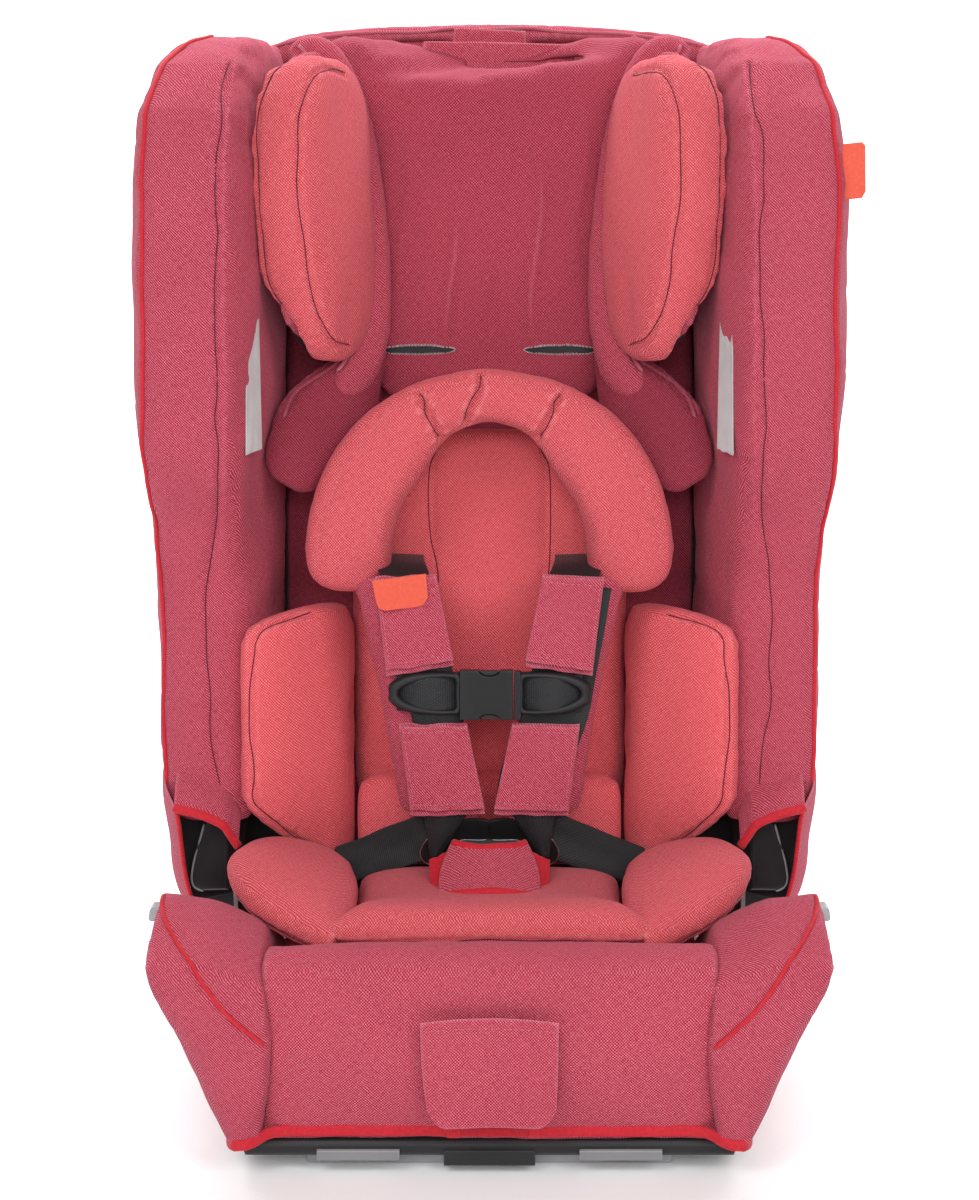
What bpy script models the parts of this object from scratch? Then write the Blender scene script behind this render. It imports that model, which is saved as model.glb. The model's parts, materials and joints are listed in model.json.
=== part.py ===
"""Convertible car seat with a fold-down back, an adjustable winged head support and a five-point harness.

Metres, +Z up, the seat faces -Y. The origin is on the floor under the middle of the seat.
The back and everything on it is modelled in its own frame, whose origin is the fold hinge:
x across the seat, y towards the rear (so -y is forward), z up along the reclined back.
"""
import bmesh
import bpy
from math import cos, pi, radians, sin
from mathutils import Vector

# ---- driving dimensions ----
HINGE_Y, HINGE_Z = 0.035, 0.190      # fold hinge, in the seat's frame
RECLINE = radians(9)                 # lean of the back
GAP = 0.0004                         # between pieces that touch

BASE_HALF = 0.143                    # plastic base, half width
BASE_FLOOR, BASE_TOP = 0.010, 0.092
BASE_FRONT, BASE_REAR = -0.186, 0.194
HEM_Z = 0.022                        # lower edge of the fabric
COVER_FRONT = -0.2065
ARM_TOP = 0.165
STEEL = 0.003                        # sheet steel

REAR_FACE = 0.0867                   # back frame: rear of the back shell
TRAY_FRONT = 0.0405                  # back frame: front rim of the back shell
COVER_HALF = 0.148                   # back cushion between the side bolsters
SHELL_TOP = 0.545
RIM_TOP = 0.575
SLOT_X, SLOT_WIDTH = 0.053, 0.050    # harness slots
SLOT_HEIGHT, SLOT_ROWS = 0.016, (0.232, 0.334)
WEB_WIDTH, WEB_THICK = 0.038, 0.0016  # harness webbing
CLIP_Z, CLIP_HALF_HEIGHT = 0.090, 0.019
BUCKLE_CENTRE = Vector((0, -0.026, 0.163))
BUCKLE_UP = Vector((0, 0.588, 0.809))
BUCKLE_OUT = Vector((0, -0.809, 0.588))

LEFT_RIGHT = (("left", -1), ("right", 1))

MATERIALS = {                        # colour, roughness, metallic
    "crimson_fabric": ((0.42, 0.055, 0.09), 0.9, 0.0),
    "coral_fabric": ((0.68, 0.10, 0.09), 0.9, 0.0),
    "black_plastic": ((0.025, 0.025, 0.027), 0.5, 0.0),
    "grey_plastic": ((0.23, 0.23, 0.24), 0.5, 0.0),
    "webbing": ((0.03, 0.03, 0.032), 0.8, 0.0),
    "steel": ((0.55, 0.55, 0.57), 0.35, 1.0),
    "rubber": ((0.35, 0.35, 0.36), 0.9, 0.0),
    "red_plastic": ((0.6, 0.02, 0.02), 0.4, 0.0),
}


# ---- scene, frames and materials ----
def clear_scene():
    for item in list(bpy.data.objects):
        bpy.data.objects.remove(item, do_unlink=True)


def add_frame(name, location, tilt=0.0, parent=None):
    """An empty that carries the pieces of one body."""
    empty = bpy.data.objects.new(name, None)
    bpy.context.collection.objects.link(empty)
    empty.location = location
    empty.rotation_euler = (tilt, 0, 0)
    empty.parent = parent
    return empty


def principled(name, kind):
    colour, roughness, metallic = MATERIALS[kind]
    material = bpy.data.materials.new(name)
    material.use_nodes = True
    shader = material.node_tree.nodes["Principled BSDF"]
    shader.inputs["Base Color"].default_value = (*colour, 1)
    shader.inputs["Roughness"].default_value = roughness
    shader.inputs["Metallic"].default_value = metallic
    material.diffuse_color = (*colour, 1)
    return material


def add_object(name, mesh_builder, kind, parent=None, smooth=True):
    """Turns a bmesh into a named object with outward faces."""
    bmesh.ops.recalc_face_normals(mesh_builder, faces=mesh_builder.faces)
    mesh = bpy.data.meshes.new(name)
    mesh_builder.to_mesh(mesh)
    mesh_builder.free()
    if smooth:
        mesh.shade_smooth()
        mesh.set_sharp_from_angle(angle=radians(35))
    item = bpy.data.objects.new(name, mesh)
    bpy.context.collection.objects.link(item)
    item.parent = parent
    mesh.materials.append(principled(name, kind))
    return item


# ---- shape builders ----
def loft(name, rings, kind, parent=None, smooth=True):
    """A closed body through rings that have equal point counts."""
    builder = bmesh.new()
    loops = [[builder.verts.new(point) for point in ring] for ring in rings]
    for lower, upper in zip(loops, loops[1:]):
        for index in range(len(lower)):
            after = (index + 1) % len(lower)
            builder.faces.new((lower[index], lower[after], upper[after], upper[index]))
    builder.faces.new(loops[0])
    builder.faces.new(loops[-1])
    return add_object(name, builder, kind, parent, smooth)


def smooth_loop(points, steps=3):
    """A closed Catmull-Rom curve through the points."""
    result = []
    count = len(points)
    for index in range(count):
        before, start, end, after = (Vector(points[(index + k) % count]) for k in (-1, 0, 1, 2))
        for step in range(steps):
            t = step / steps
            result.append(0.5 * (2 * start + (end - before) * t
                                 + (2 * before - 5 * start + 4 * end - after) * t ** 2
                                 + (3 * start - before - 3 * end + after) * t ** 3))
    return result


def smooth_path(points, steps):
    """An open Catmull-Rom curve through the points."""
    anchors = [Vector(p) for p in points]
    anchors = [2 * anchors[0] - anchors[1]] + anchors + [2 * anchors[-1] - anchors[-2]]
    result = []
    for index in range(1, len(anchors) - 2):
        before, start, end, after = anchors[index - 1:index + 3]
        for step in range(steps):
            t = step / steps
            result.append(0.5 * (2 * start + (end - before) * t
                                 + (2 * before - 5 * start + 4 * end - after) * t ** 2
                                 + (3 * start - before - 3 * end + after) * t ** 3))
    result.append(anchors[-2])
    return result


def inset(outline, distance):
    """The outline moved inwards, point by point."""
    points = [Vector((p[0], p[1])) for p in outline]
    count = len(points)
    area = sum(points[i].x * points[(i + 1) % count].y - points[(i + 1) % count].x * points[i].y
               for i in range(count))
    turn = 1 if area > 0 else -1
    moved = []
    for index in range(count):
        along = points[(index + 1) % count] - points[index - 1]
        normal = Vector((-along.y, along.x)).normalized() * turn
        moved.append(points[index] + normal * distance)
    return moved


def rounded_slab(name, outline, low, high, edge, place, kind, parent=None, low_edge=None):
    """A slab with rounded edges; place(u, v, depth) puts its points in space."""
    low_edge = edge if low_edge is None else low_edge
    layers = []
    if low_edge:
        layers += [(low, low_edge), (low + 0.3 * low_edge, 0.3 * low_edge)]
        layers.append((low + low_edge, 0))
    else:
        layers.append((low, 0))
    if edge:
        layers += [(high - edge, 0), (high - 0.3 * edge, 0.3 * edge), (high, edge)]
    else:
        layers.append((high, 0))
    rings = [[place(p[0], p[1], depth) for p in inset(outline, amount)] for depth, amount in layers]
    return loft(name, rings, kind, parent)


def box(name, low, high, kind, parent=None, bevel=0.0, place=None):
    """A box between two corners, with bevelled edges."""
    builder = bmesh.new()
    bmesh.ops.create_cube(builder, size=1)
    size = Vector(high) - Vector(low)
    centre = (Vector(high) + Vector(low)) / 2
    for vert in builder.verts:
        vert.co = Vector(a * b for a, b in zip(vert.co, size)) + centre
    if bevel:
        bmesh.ops.bevel(builder, geom=builder.edges[:], offset=bevel, segments=2,
                        profile=0.7, affect="EDGES")
    if place:
        for vert in builder.verts:
            vert.co = place(vert.co)
    return add_object(name, builder, kind, parent)


def turned(name, profile, centre, kind, parent=None, sides=24):
    """A solid turned about an X axis from (x, radius) pairs."""
    rings = [[(x, centre[0] + radius * cos(2 * pi * k / sides), centre[1] + radius * sin(2 * pi * k / sides))
              for k in range(sides)] for x, radius in profile]
    return loft(name, rings, kind, parent)


def rounded_rectangle(half_x, half_y, corner, steps=3):
    """Outline of a rectangle with round corners, anticlockwise."""
    points = []
    for quarter, (sign_x, sign_y) in enumerate(((1, 1), (-1, 1), (-1, -1), (1, -1))):
        for step in range(steps + 1):
            angle = (quarter + step / steps) * pi / 2
            points.append((sign_x * (half_x - corner) + corner * cos(angle),
                           sign_y * (half_y - corner) + corner * sin(angle)))
    return points


def band(name, path, across, width, thick, kind, parent=None, hollow=None):
    """A flat band swept along a path. across gives the width direction at each point.

    hollow is the (width, thickness) of a channel right through it.
    """
    def ring(index, half_width, half_thick):
        here = path[index]
        along = (path[min(index + 1, len(path) - 1)] - path[max(index - 1, 0)]).normalized()
        side = across[index] - along * across[index].dot(along)
        side.normalize()
        out = side.cross(along)
        corners = ((1, 1), (-1, 1), (-1, -1), (1, -1))
        return [here + side * a * half_width + out * b * half_thick for a, b in corners]

    if not hollow:
        rings = [ring(i, width / 2, thick / 2) for i in range(len(path))]
        return loft(name, rings, kind, parent)
    builder = bmesh.new()
    outer = [[builder.verts.new(p) for p in ring(i, width / 2, thick / 2)] for i in range(len(path))]
    inner = [[builder.verts.new(p) for p in ring(i, hollow[0] / 2, hollow[1] / 2)] for i in range(len(path))]
    for loops in (outer, inner):
        for first, second in zip(loops, loops[1:]):
            for k in range(4):
                builder.faces.new((first[k], first[(k + 1) % 4], second[(k + 1) % 4], second[k]))
    for end in (0, -1):
        for k in range(4):
            builder.faces.new((outer[end][k], outer[end][(k + 1) % 4], inner[end][(k + 1) % 4], inner[end][k]))
    return add_object(name, builder, kind, parent)


def combine(target, tool, operation):
    """A Boolean on the target; the tool is a hidden cutter or a merged piece."""
    tool.display_type = "WIRE"
    tool.hide_render = True
    step = target.modifiers.new(tool.name, "BOOLEAN")
    step.operation = operation
    step.solver = "EXACT"
    step.object = tool


def cut_box(target, label, low, high, parent=None, bevel=0.0, place=None):
    tool = box(f"{target.name}_{label}_cutter", low, high, "steel", parent, bevel, place)
    combine(target, tool, "DIFFERENCE")


def cut_harness_slots(target, rows, parent):
    """Pairs of slots right through a piece of the back or the head support."""
    for row, slot_z in enumerate(rows):
        for side, sign in LEFT_RIGHT:
            centre = sign * SLOT_X
            cut_box(target, f"slot_{row}_{side}", (centre - SLOT_WIDTH / 2, 0, slot_z - SLOT_HEIGHT / 2),
                    (centre + SLOT_WIDTH / 2, 0.1, slot_z + SLOT_HEIGHT / 2), parent, bevel=0.002)


def along_x(u, v, depth):
    return Vector((depth, u, v))


def along_y(u, v, depth):
    return Vector((u, depth, v))


# ---- base ----
def panel_half_width(z):
    """Half width of the front fabric panel: narrow in the middle, wider at hem and lip."""
    if z < 0.10:
        return 0.147 + 0.011 * ((0.10 - z) / 0.078) ** 1.3
    return 0.147 + 0.008 * min((z - 0.10) / 0.05, 1)


def make_base_shell():
    outline = [(BASE_FRONT, 0.020), (BASE_FRONT + 0.010, BASE_FLOOR), (BASE_REAR - 0.006, BASE_FLOOR),
               (BASE_REAR, 0.016), (BASE_REAR, 0.084), (BASE_REAR - 0.008, BASE_TOP),
               (BASE_FRONT + 0.006, BASE_TOP), (BASE_FRONT, BASE_TOP - 0.006)]
    shell = rounded_slab("base_shell", outline, -BASE_HALF, BASE_HALF, 0.004, along_x, "black_plastic")
    cut_box(shell, "belt_path", (-0.2, 0.062, 0.050), (0.2, 0.118, 0.082), bevel=0.006)
    for row, low_x in enumerate((-0.118, -0.036, 0.046)):
        cut_box(shell, f"rear_pocket_{row}", (low_x, 0.145, 0.086), (low_x + 0.072, 0.180, 0.1), bevel=0.003)
    return shell


def make_side_rail(side, sign):
    """Steel side plate that carries the fold hinge on a stepped bracket."""
    inner = BASE_HALF + 0.0007
    bracket_in = 0.187
    step_z = 0.0835
    profile = [(inner, 0.024), (inner + STEEL, 0.024), (inner + STEEL, step_z),
               (bracket_in + STEEL, step_z), (bracket_in + STEEL, HINGE_Z + 0.016),
               (bracket_in, HINGE_Z + 0.016), (bracket_in, step_z + STEEL), (inner, step_z + STEEL)]
    profile = [(sign * x, z) for x, z in profile]
    rail = rounded_slab(f"side_rail_{side}", profile, HINGE_Y - 0.016, HINGE_Y + 0.016, 0,
                        along_y, "steel")
    plate = [(-0.150, 0.024), (0.165, 0.024), (0.165, 0.112), (0.135, 0.112), (0.128, 0.046), (-0.150, 0.046)]
    ends = sorted((sign * inner, sign * (inner + STEEL)))
    arm = rounded_slab(f"side_rail_{side}_plate", plate, ends[0], ends[1], 0, along_x, "steel")
    combine(rail, arm, "UNION")
    reach = sorted((sign * 0.180, sign * 0.200))
    hole = turned(f"side_rail_{side}_hole", [(reach[0], 0.0064), (reach[1], 0.0064)],
                  (HINGE_Y, HINGE_Z), "steel")
    combine(rail, hole, "DIFFERENCE")


def make_pivot_pin(side, sign):
    steps = [(0.1795, 0.0055), (0.1801, 0.0060), (0.1905, 0.0060), (0.1905, 0.0100), (0.1922, 0.0100),
             (0.1928, 0.0090)]
    turned(f"pivot_pin_{side}", [(sign * x, r) for x, r in steps], (HINGE_Y, HINGE_Z), "steel")


def make_cross_tube():
    end = BASE_HALF + 0.0003
    turned("cross_tube", [(-end, 0.008), (end, 0.008)], (0.150, 0.1008), "steel", sides=20)


def make_seat_cover():
    """Front fabric panel and seat foam, with a pocket for the harness adjuster."""
    outline = [(-0.1868, HEM_Z), (-0.1985, HEM_Z), (-0.2035, 0.055), (COVER_FRONT, 0.085),
               (COVER_FRONT, 0.108), (-0.2050, 0.130), (-0.1970, 0.148), (-0.1800, 0.155),
               (-0.1600, 0.151), (-0.1350, 0.138), (-0.1000, 0.124), (-0.0600, 0.118),
               (0.0200, 0.117), (0.0500, 0.119), (0.0560, 0.110), (0.0560, BASE_TOP + GAP),
               (-0.1868, BASE_TOP + GAP)]

    def flared(u, v, depth):
        return Vector((depth * panel_half_width(v) / 0.147, u, v))

    cover = rounded_slab("seat_cover", outline, -0.147, 0.147, 0.0035, flared, "crimson_fabric")
    cut_box(cover, "adjuster_pocket", (-0.036, -0.22, 0.050), (0.036, -0.1925, 0.107), bevel=0.003)


def make_arm_pad(side, sign):
    """Padded side lobe that flares outwards to the arm's tip."""
    levels = (0.0, 0.30, 0.62, 0.85, 1.0)
    # y, height of the outer edge, height of the inner edge, fullness
    stations = [(-0.2020, 0.116, 0.106, 0.55), (-0.1985, 0.134, 0.122, 0.88), (-0.1880, 0.149, 0.136, 1.0),
                (-0.1600, 0.160, 0.148, 1.0), (-0.1300, ARM_TOP, 0.149, 1.0), (-0.1000, 0.156, 0.138, 1.0),
                (-0.0700, 0.136, 0.124, 1.0), (-0.0400, 0.110, 0.106, 1.0), (-0.0100, 0.078, 0.078, 1.0),
                (0.0560, 0.074, 0.074, 0.95)]
    rings = []
    for y, top_out, top_in, fullness in stations:
        inner = [(panel_half_width(z) + 0.0025, z) for z in (HEM_Z + (top_in - HEM_Z) * t for t in levels)]
        outer = [(0.178 + (z - HEM_Z) * 0.385, z) for z in (HEM_Z + (top_out - HEM_Z) * t for t in levels)]
        outer[0] = (outer[0][0] - 0.004, outer[0][1])
        outer[-1] = (outer[-1][0] - 0.003, outer[-1][1])
        ring = inner + [((inner[-1][0] + outer[-1][0]) / 2, (top_in + top_out) / 2 + 0.003)] + outer[::-1]
        middle = Vector((sum(p[0] for p in ring) / len(ring), sum(p[1] for p in ring) / len(ring)))
        ring = [middle + (Vector(p) - middle) * fullness for p in ring]
        rings.append([(sign * p.x, y, max(p.y, HEM_Z)) for p in ring])
    loft(f"arm_pad_{side}", rings, "crimson_fabric")


def make_cup_holder_bracket(side, sign):
    """Folded steel clip near the arm's tip that a cup holder hooks on."""
    profile = [(0.2258, 0.142), (0.2278, 0.142), (0.2352, 0.162), (0.2352, 0.1690),
               (0.2300, 0.1710), (0.2296, 0.1692), (0.2332, 0.1676), (0.2332, 0.1624)]
    outline = [(sign * x, z) for x, z in profile]
    rounded_slab(f"cup_holder_bracket_{side}", outline, -0.136, -0.124, 0, along_y, "steel")


def make_adjuster():
    """Harness adjuster housing in the front pocket, its press lever, and the fabric flap over them."""
    housing = box("adjuster_housing", (-0.0345, -0.2055, 0.0535), (0.0345, -0.1932, 0.1045),
                  "grey_plastic", bevel=0.002)
    cut_box(housing, "lever_window", (-0.0165, -0.21, 0.070), (0.0165, -0.1965, 0.096), bevel=0.001)
    cut_box(housing, "web_slot", (-0.0210, -0.21, 0.0575), (0.0210, -0.1965, 0.0635), bevel=0.001)
    box("adjuster_lever", (-0.0155, -0.2065, 0.071), (0.0155, -0.2015, 0.095), "black_plastic", bevel=0.001)
    box("adjuster_flap", (-0.046, -0.2100, 0.043), (0.046, -0.2083, 0.1165), "crimson_fabric", bevel=0.0005)


def make_feet():
    for label, low_y in (("front", -0.178), ("rear", 0.150)):
        box(f"grip_strip_{label}", (-0.125, low_y, 0), (0.125, low_y + 0.024, BASE_FLOOR - GAP),
            "rubber", bevel=0.002)
    foot = box("recline_foot", (-0.100, BASE_REAR + 0.0006, 0.0110), (0.100, BASE_REAR + 0.0090, 0.082),
               "grey_plastic", bevel=0.0015)
    for low_x in (-0.080, -0.024, 0.032):
        cut_box(foot, f"rib_{low_x:+.3f}", (low_x, BASE_REAR + 0.0060, 0.026), (low_x + 0.048, 0.21, 0.074),
                bevel=0.002)


def make_insert_seat():
    """Removable infant insert on the seat: a pad with a buckle slot, and a wing at each thigh."""
    outline = [(-0.1500, 0.1490), (-0.1420, 0.1430), (-0.1000, 0.1250), (-0.0600, 0.1192), (0.0200, 0.1182),
               (0.0300, 0.1260), (0.0200, 0.1365), (-0.0600, 0.1375), (-0.0950, 0.1440), (-0.1300, 0.1600),
               (-0.1460, 0.1590)]
    outline = [(y, z + 0.0008) for y, z in outline]
    pad = rounded_slab("insert_seat_pad", outline, -0.104, 0.104, 0.006, along_x, "coral_fabric")
    cut_box(pad, "buckle_slot", (-0.029, -0.068, 0.10), (0.029, 0.004, 0.2), bevel=0.004)
    shape = [(0.1065, -0.026), (0.1500, -0.022), (0.1830, -0.040), (0.1860, -0.070), (0.1600, -0.106),
             (0.1250, -0.126), (0.1065, -0.120)]
    for side, sign in LEFT_RIGHT:
        outline = smooth_loop([(sign * x, y) for x, y in shape])

        def tilted(u, v, depth):
            dip = max(0.0, -(v + 0.085)) * 0.25
            return Vector((u, v, 0.148 + (abs(u) - 0.106) * 0.20 + depth - dip))

        rounded_slab(f"insert_thigh_{side}", outline, 0, 0.024, 0.008, tilted, "coral_fabric")


def buckle_place(point):
    """Buckle frame: x across, y up along the buckle, z out of its face."""
    return BUCKLE_CENTRE + Vector((point[0], 0, 0)) + BUCKLE_UP * point[1] + BUCKLE_OUT * point[2]


def make_buckle():
    body = box("buckle_body", (-0.024, -0.022, -0.009), (0.024, 0.022, 0.009), "black_plastic",
               bevel=0.003, place=buckle_place)
    cut_box(body, "button_well", (-0.0130, -0.0140, -0.0015), (0.0130, 0.0060, 0.02), bevel=0.0008,
            place=buckle_place)
    box("buckle_button", (-0.0125, -0.0135, 0.0030), (0.0125, 0.0055, 0.0098), "red_plastic",
        bevel=0.001, place=buckle_place)
    for side, sign in LEFT_RIGHT:
        ends = sorted((sign * 0.0020, sign * 0.0530))
        tongue = box(f"tongue_{side}", (ends[0], 0.0224, -0.0025), (ends[1], 0.0420, 0.0025),
                     "black_plastic", bevel=0.001, place=buckle_place)
        slot = sorted((sign * 0.0080, sign * 0.0490))
        cut_box(tongue, "web_slot", (slot[0], 0.0275, -0.01), (slot[1], 0.0385, 0.01), place=buckle_place)
    box("crotch_strap", (-0.019, -0.0440, 0.1180), (0.019, -0.0410, 0.1425), "webbing", bevel=0.0005)
    path = smooth_path([(0, -0.0286, 0.1850), (0, -0.0382, 0.1717), (0, -0.0476, 0.1588),
                        (0, -0.0640, 0.1515), (0, -0.0900, 0.1545)], 3)
    across = [Vector((1, 0, 0))] * len(path)
    band("crotch_pad", path, across, 0.080, 0.008, "crimson_fabric")


def make_lap_strap(side, sign):
    path = smooth_path([(sign * 0.0545, -0.0010, 0.1850), (sign * 0.0800, -0.0045, 0.1660),
                        (sign * 0.1000, -0.0030, 0.1520), (sign * 0.1250, 0.0080, 0.1440)], 3)
    first, last = Vector((0, 0.50, 0.87)), Vector((0, 0.94, 0.34))
    across = [first.lerp(last, i / (len(path) - 1)) for i in range(len(path))]
    band(f"lap_strap_{side}", path, across, 0.034, WEB_THICK, "webbing")


# ---- back ----
def make_back_shell(back):
    """Plastic tray behind the cushions, with harness slots and a channel for the rear webbing."""
    half = [(0.110, -0.075), (0.185, -0.070), (0.222, -0.050), (0.232, 0.020), (0.240, 0.200),
            (0.243, 0.380), (0.238, 0.470), (0.222, 0.515), (0.190, 0.538), (0.120, SHELL_TOP)]
    outline = half + [(-x, z) for x, z in half[::-1]]
    shell = rounded_slab("back_shell", outline, TRAY_FRONT, REAR_FACE, 0.010, along_y, "black_plastic",
                         back, low_edge=0)
    hollow = [Vector((p[0], p[1])) for p in inset(outline, 0.013)]
    tray = rounded_slab("back_shell_tray_cutter", hollow, 0.03, 0.0605, 0, along_y, "steel", back)
    combine(shell, tray, "DIFFERENCE")
    cut_box(shell, "strap_channel", (-0.082, 0.0775, -0.062), (0.082, 0.1, 0.245), back, bevel=0.006)
    cut_box(shell, "release_notch", (-0.030, 0.03, 0.533), (0.030, 0.0550, 0.56), back)
    cut_harness_slots(shell, SLOT_ROWS, back)
    for side, sign in LEFT_RIGHT:
        for row, low_z in enumerate((0.030, 0.170, 0.310)):
            ends = sorted((sign * 0.112, sign * 0.205))
            cut_box(shell, f"panel_{row}_{side}", (ends[0], 0.0815, low_z), (ends[1], 0.1, low_z + 0.120),
                    back, bevel=0.003)


def make_back_frame(side, sign, back):
    """Flat steel bar inside the tray, with an eye on the fold hinge."""
    ends = sorted((sign * 0.1765, sign * 0.1865))
    bar = box(f"back_frame_{side}", (ends[0], 0.0430, -0.012), (ends[1], 0.0575, 0.480), "steel", back,
              bevel=0.001)
    plate_ends = sorted((sign * 0.1833, sign * 0.1865))
    plate = box(f"back_frame_{side}_arm", (plate_ends[0], -0.002, -0.011), (plate_ends[1], 0.050, 0.013),
                "steel", back)
    combine(bar, plate, "UNION")
    eye = turned(f"back_frame_{side}_eye", [(plate_ends[0], 0.014), (plate_ends[1], 0.014)], (0, 0),
                 "steel", back)
    combine(bar, eye, "UNION")
    reach = sorted((sign * 0.170, sign * 0.190))
    hole = turned(f"back_frame_{side}_hole", [(reach[0], 0.0064), (reach[1], 0.0064)], (0, 0), "steel", back)
    combine(bar, hole, "DIFFERENCE")


def make_back_cover(back):
    outline = rounded_rectangle(COVER_HALF, 0.2875, 0.02)
    outline = [(x, z + 0.2405) for x, z in outline]
    cover = rounded_slab("back_cover", outline, TRAY_FRONT, 0.0600, 0.001, along_y, "crimson_fabric", back)
    cut_harness_slots(cover, SLOT_ROWS, back)


def bolster_ring(z, outer, front, inner_front, corner, slope=0.0):
    """Cross-section of a side bolster; slope lifts its rear."""
    rear = TRAY_FRONT - GAP
    inner_rear = 0.1500
    corners = ((inner_rear, rear, 0.004), (outer, rear, corner * 0.6),
               (outer - 0.002, front, corner), (inner_front, front, corner * 0.8))
    ring = []
    for index, (x, y, radius) in enumerate(corners):
        here = Vector((x, y))
        before = (Vector(corners[index - 1][:2]) - here).normalized()
        after = (Vector(corners[(index + 1) % 4][:2]) - here).normalized()
        for step in range(5):
            t = step / 4
            start, end = here + before * radius, here + after * radius
            ring.append(start.lerp(here, t).lerp(here.lerp(end, t), t))
    return [(p.x, p.y, z + slope * (p.y - front)) for p in ring]


def make_bolster(side, sign, back):
    # height, outer x, front y, inner x at the front, corner radius, slope of the section
    stations = [(0.012, 0.224, -0.043, 0.176, 0.010, 0.38), (0.018, 0.229, -0.047, 0.174, 0.016, 0.34),
                (0.056, 0.233, -0.049, 0.174, 0.022, 0.06), (0.120, 0.237, -0.049, 0.176, 0.024, 0),
                (0.175, 0.241, -0.051, 0.178, 0.024, 0), (0.210, 0.244, -0.066, 0.178, 0.024, 0),
                (0.240, 0.247, -0.094, 0.177, 0.022, 0), (0.265, 0.249, -0.108, 0.175, 0.022, 0),
                (0.320, 0.2505, -0.115, 0.173, 0.024, 0), (0.450, 0.2505, -0.115, 0.172, 0.024, 0),
                (0.500, 0.2470, -0.104, 0.172, 0.024, -0.04), (0.535, 0.2380, -0.080, 0.170, 0.024, -0.05),
                (0.552, 0.2230, -0.052, 0.168, 0.022, -0.03), (0.558, 0.2050, -0.030, 0.166, 0.014, -0.02)]
    rings = [[(sign * x, y, z) for x, y, z in bolster_ring(*station)] for station in stations]
    loft(f"bolster_{side}", rings, "crimson_fabric", back)


def make_top_rim(back):
    """Padded strip over the shell's top edge, with two openings for the tether."""
    half = [(0.168, SHELL_TOP + 0.001), (0.168, 0.560), (0.140, 0.569), (0.080, 0.574), (0.0, RIM_TOP)]
    outline = half + [(-x, z) for x, z in half[-2::-1]]
    rim = rounded_slab("top_rim", outline, 0.0560, REAR_FACE, 0.004, along_y, "crimson_fabric", back)
    for side, sign in LEFT_RIGHT:
        ends = sorted((sign * 0.028, sign * 0.076))
        cut_box(rim, f"opening_{side}", (ends[0], 0.04, 0.5505), (ends[1], 0.1, 0.5635), back, bevel=0.002)


def make_insert_back(back):
    """Infant insert on the back: pad, side pads and an arched head pillow."""
    half = [(0.084, -0.026), (0.099, -0.004), (0.101, 0.090), (0.098, 0.215), (0.060, 0.268)]
    outline = [(0, -0.029)] + half + [(0, 0.276)] + [(-x, z) for x, z in half[::-1]]
    outline = smooth_loop(outline, 2)
    rounded_slab("insert_back_pad", outline, 0.0120, TRAY_FRONT - GAP, 0.006, along_y,
                 "coral_fabric", back)
    for side, sign in LEFT_RIGHT:
        shape = [(0.036, 0.010), (0.000, -0.008), (-0.034, -0.004), (-0.044, 0.050), (-0.044, 0.110),
                 (-0.024, 0.140), (0.010, 0.146), (0.036, 0.132)]
        outline = smooth_loop(shape, 2)

        def leaning(u, v, depth):
            lean = 0.020 * (0.040 - u) / 0.085
            return Vector((sign * (0.1040 + depth + lean * (depth / 0.044)), u, v))

        rounded_slab(f"insert_side_{side}", outline, 0, 0.044, 0.010, leaning, "coral_fabric", back)
    make_head_pillow(back)


def make_head_pillow(back):
    """Horseshoe pillow: a round section swept over an arch."""
    half = [(-0.112, 0.190), (-0.110, 0.215), (-0.092, 0.258), (-0.052, 0.292)]
    route = half + [(0, 0.302)] + [(-x, z) for x, z in half[::-1]]
    path = smooth_path([(x, -0.043, z) for x, z in route], 3)
    rings = []
    last = len(path) - 1
    for index, centre in enumerate(path):
        along = (path[min(index + 1, last)] - path[max(index - 1, 0)]).normalized()
        side = along.cross(Vector((0, 1, 0))).normalized()
        from_end = min(index, last - index)
        full = (0.62, 0.93, 1.0)[min(from_end, 2)]
        half_width = 0.020 + 0.008 * min(abs(centre.x) / 0.10, 1)
        rings.append([centre + side * half_width * full * cos(2 * pi * k / 14)
                      + Vector((0, 0.021, 0)) * full * sin(2 * pi * k / 14) for k in range(14)])
    loft("insert_head_pillow", rings, "coral_fabric", back)


def strap_path(side_sign):
    """Shoulder webbing from its slot to the buckle tongue."""
    anchors = [(0.055, 0.006, 0.232), (0.059, -0.012, 0.205), (0.063, -0.042, 0.170), (0.057, -0.062, 0.135),
               (0.052, -0.068, 0.112), (0.052, -0.068, 0.068), (0.047, -0.066, 0.046), (0.039, -0.054, 0.020),
               (0.032, -0.0490, 0.0140)]
    return smooth_path([(side_sign * x, y, z) for x, y, z in anchors], 3)


def make_shoulder_harness(side, sign, back):
    path = strap_path(sign)
    across = [Vector((1, 0, 0))] * len(path)
    band(f"shoulder_strap_{side}", path, across, WEB_WIDTH, WEB_THICK, "webbing", back)
    covered = [point for point in path if 0.024 < point.z < 0.172]
    pad = band(f"shoulder_pad_{side}", covered, across[:len(covered)], 0.070, 0.020, "crimson_fabric", back,
               hollow=(0.042, 0.0058))
    reach = sorted((sign * 0.01, sign * 0.11))
    low, high = CLIP_Z - CLIP_HALF_HEIGHT - 0.002, CLIP_Z + CLIP_HALF_HEIGHT + 0.002
    cut_box(pad, "clip_gap", (reach[0], -0.09, low), (reach[1], -0.0612, high), back)


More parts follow.
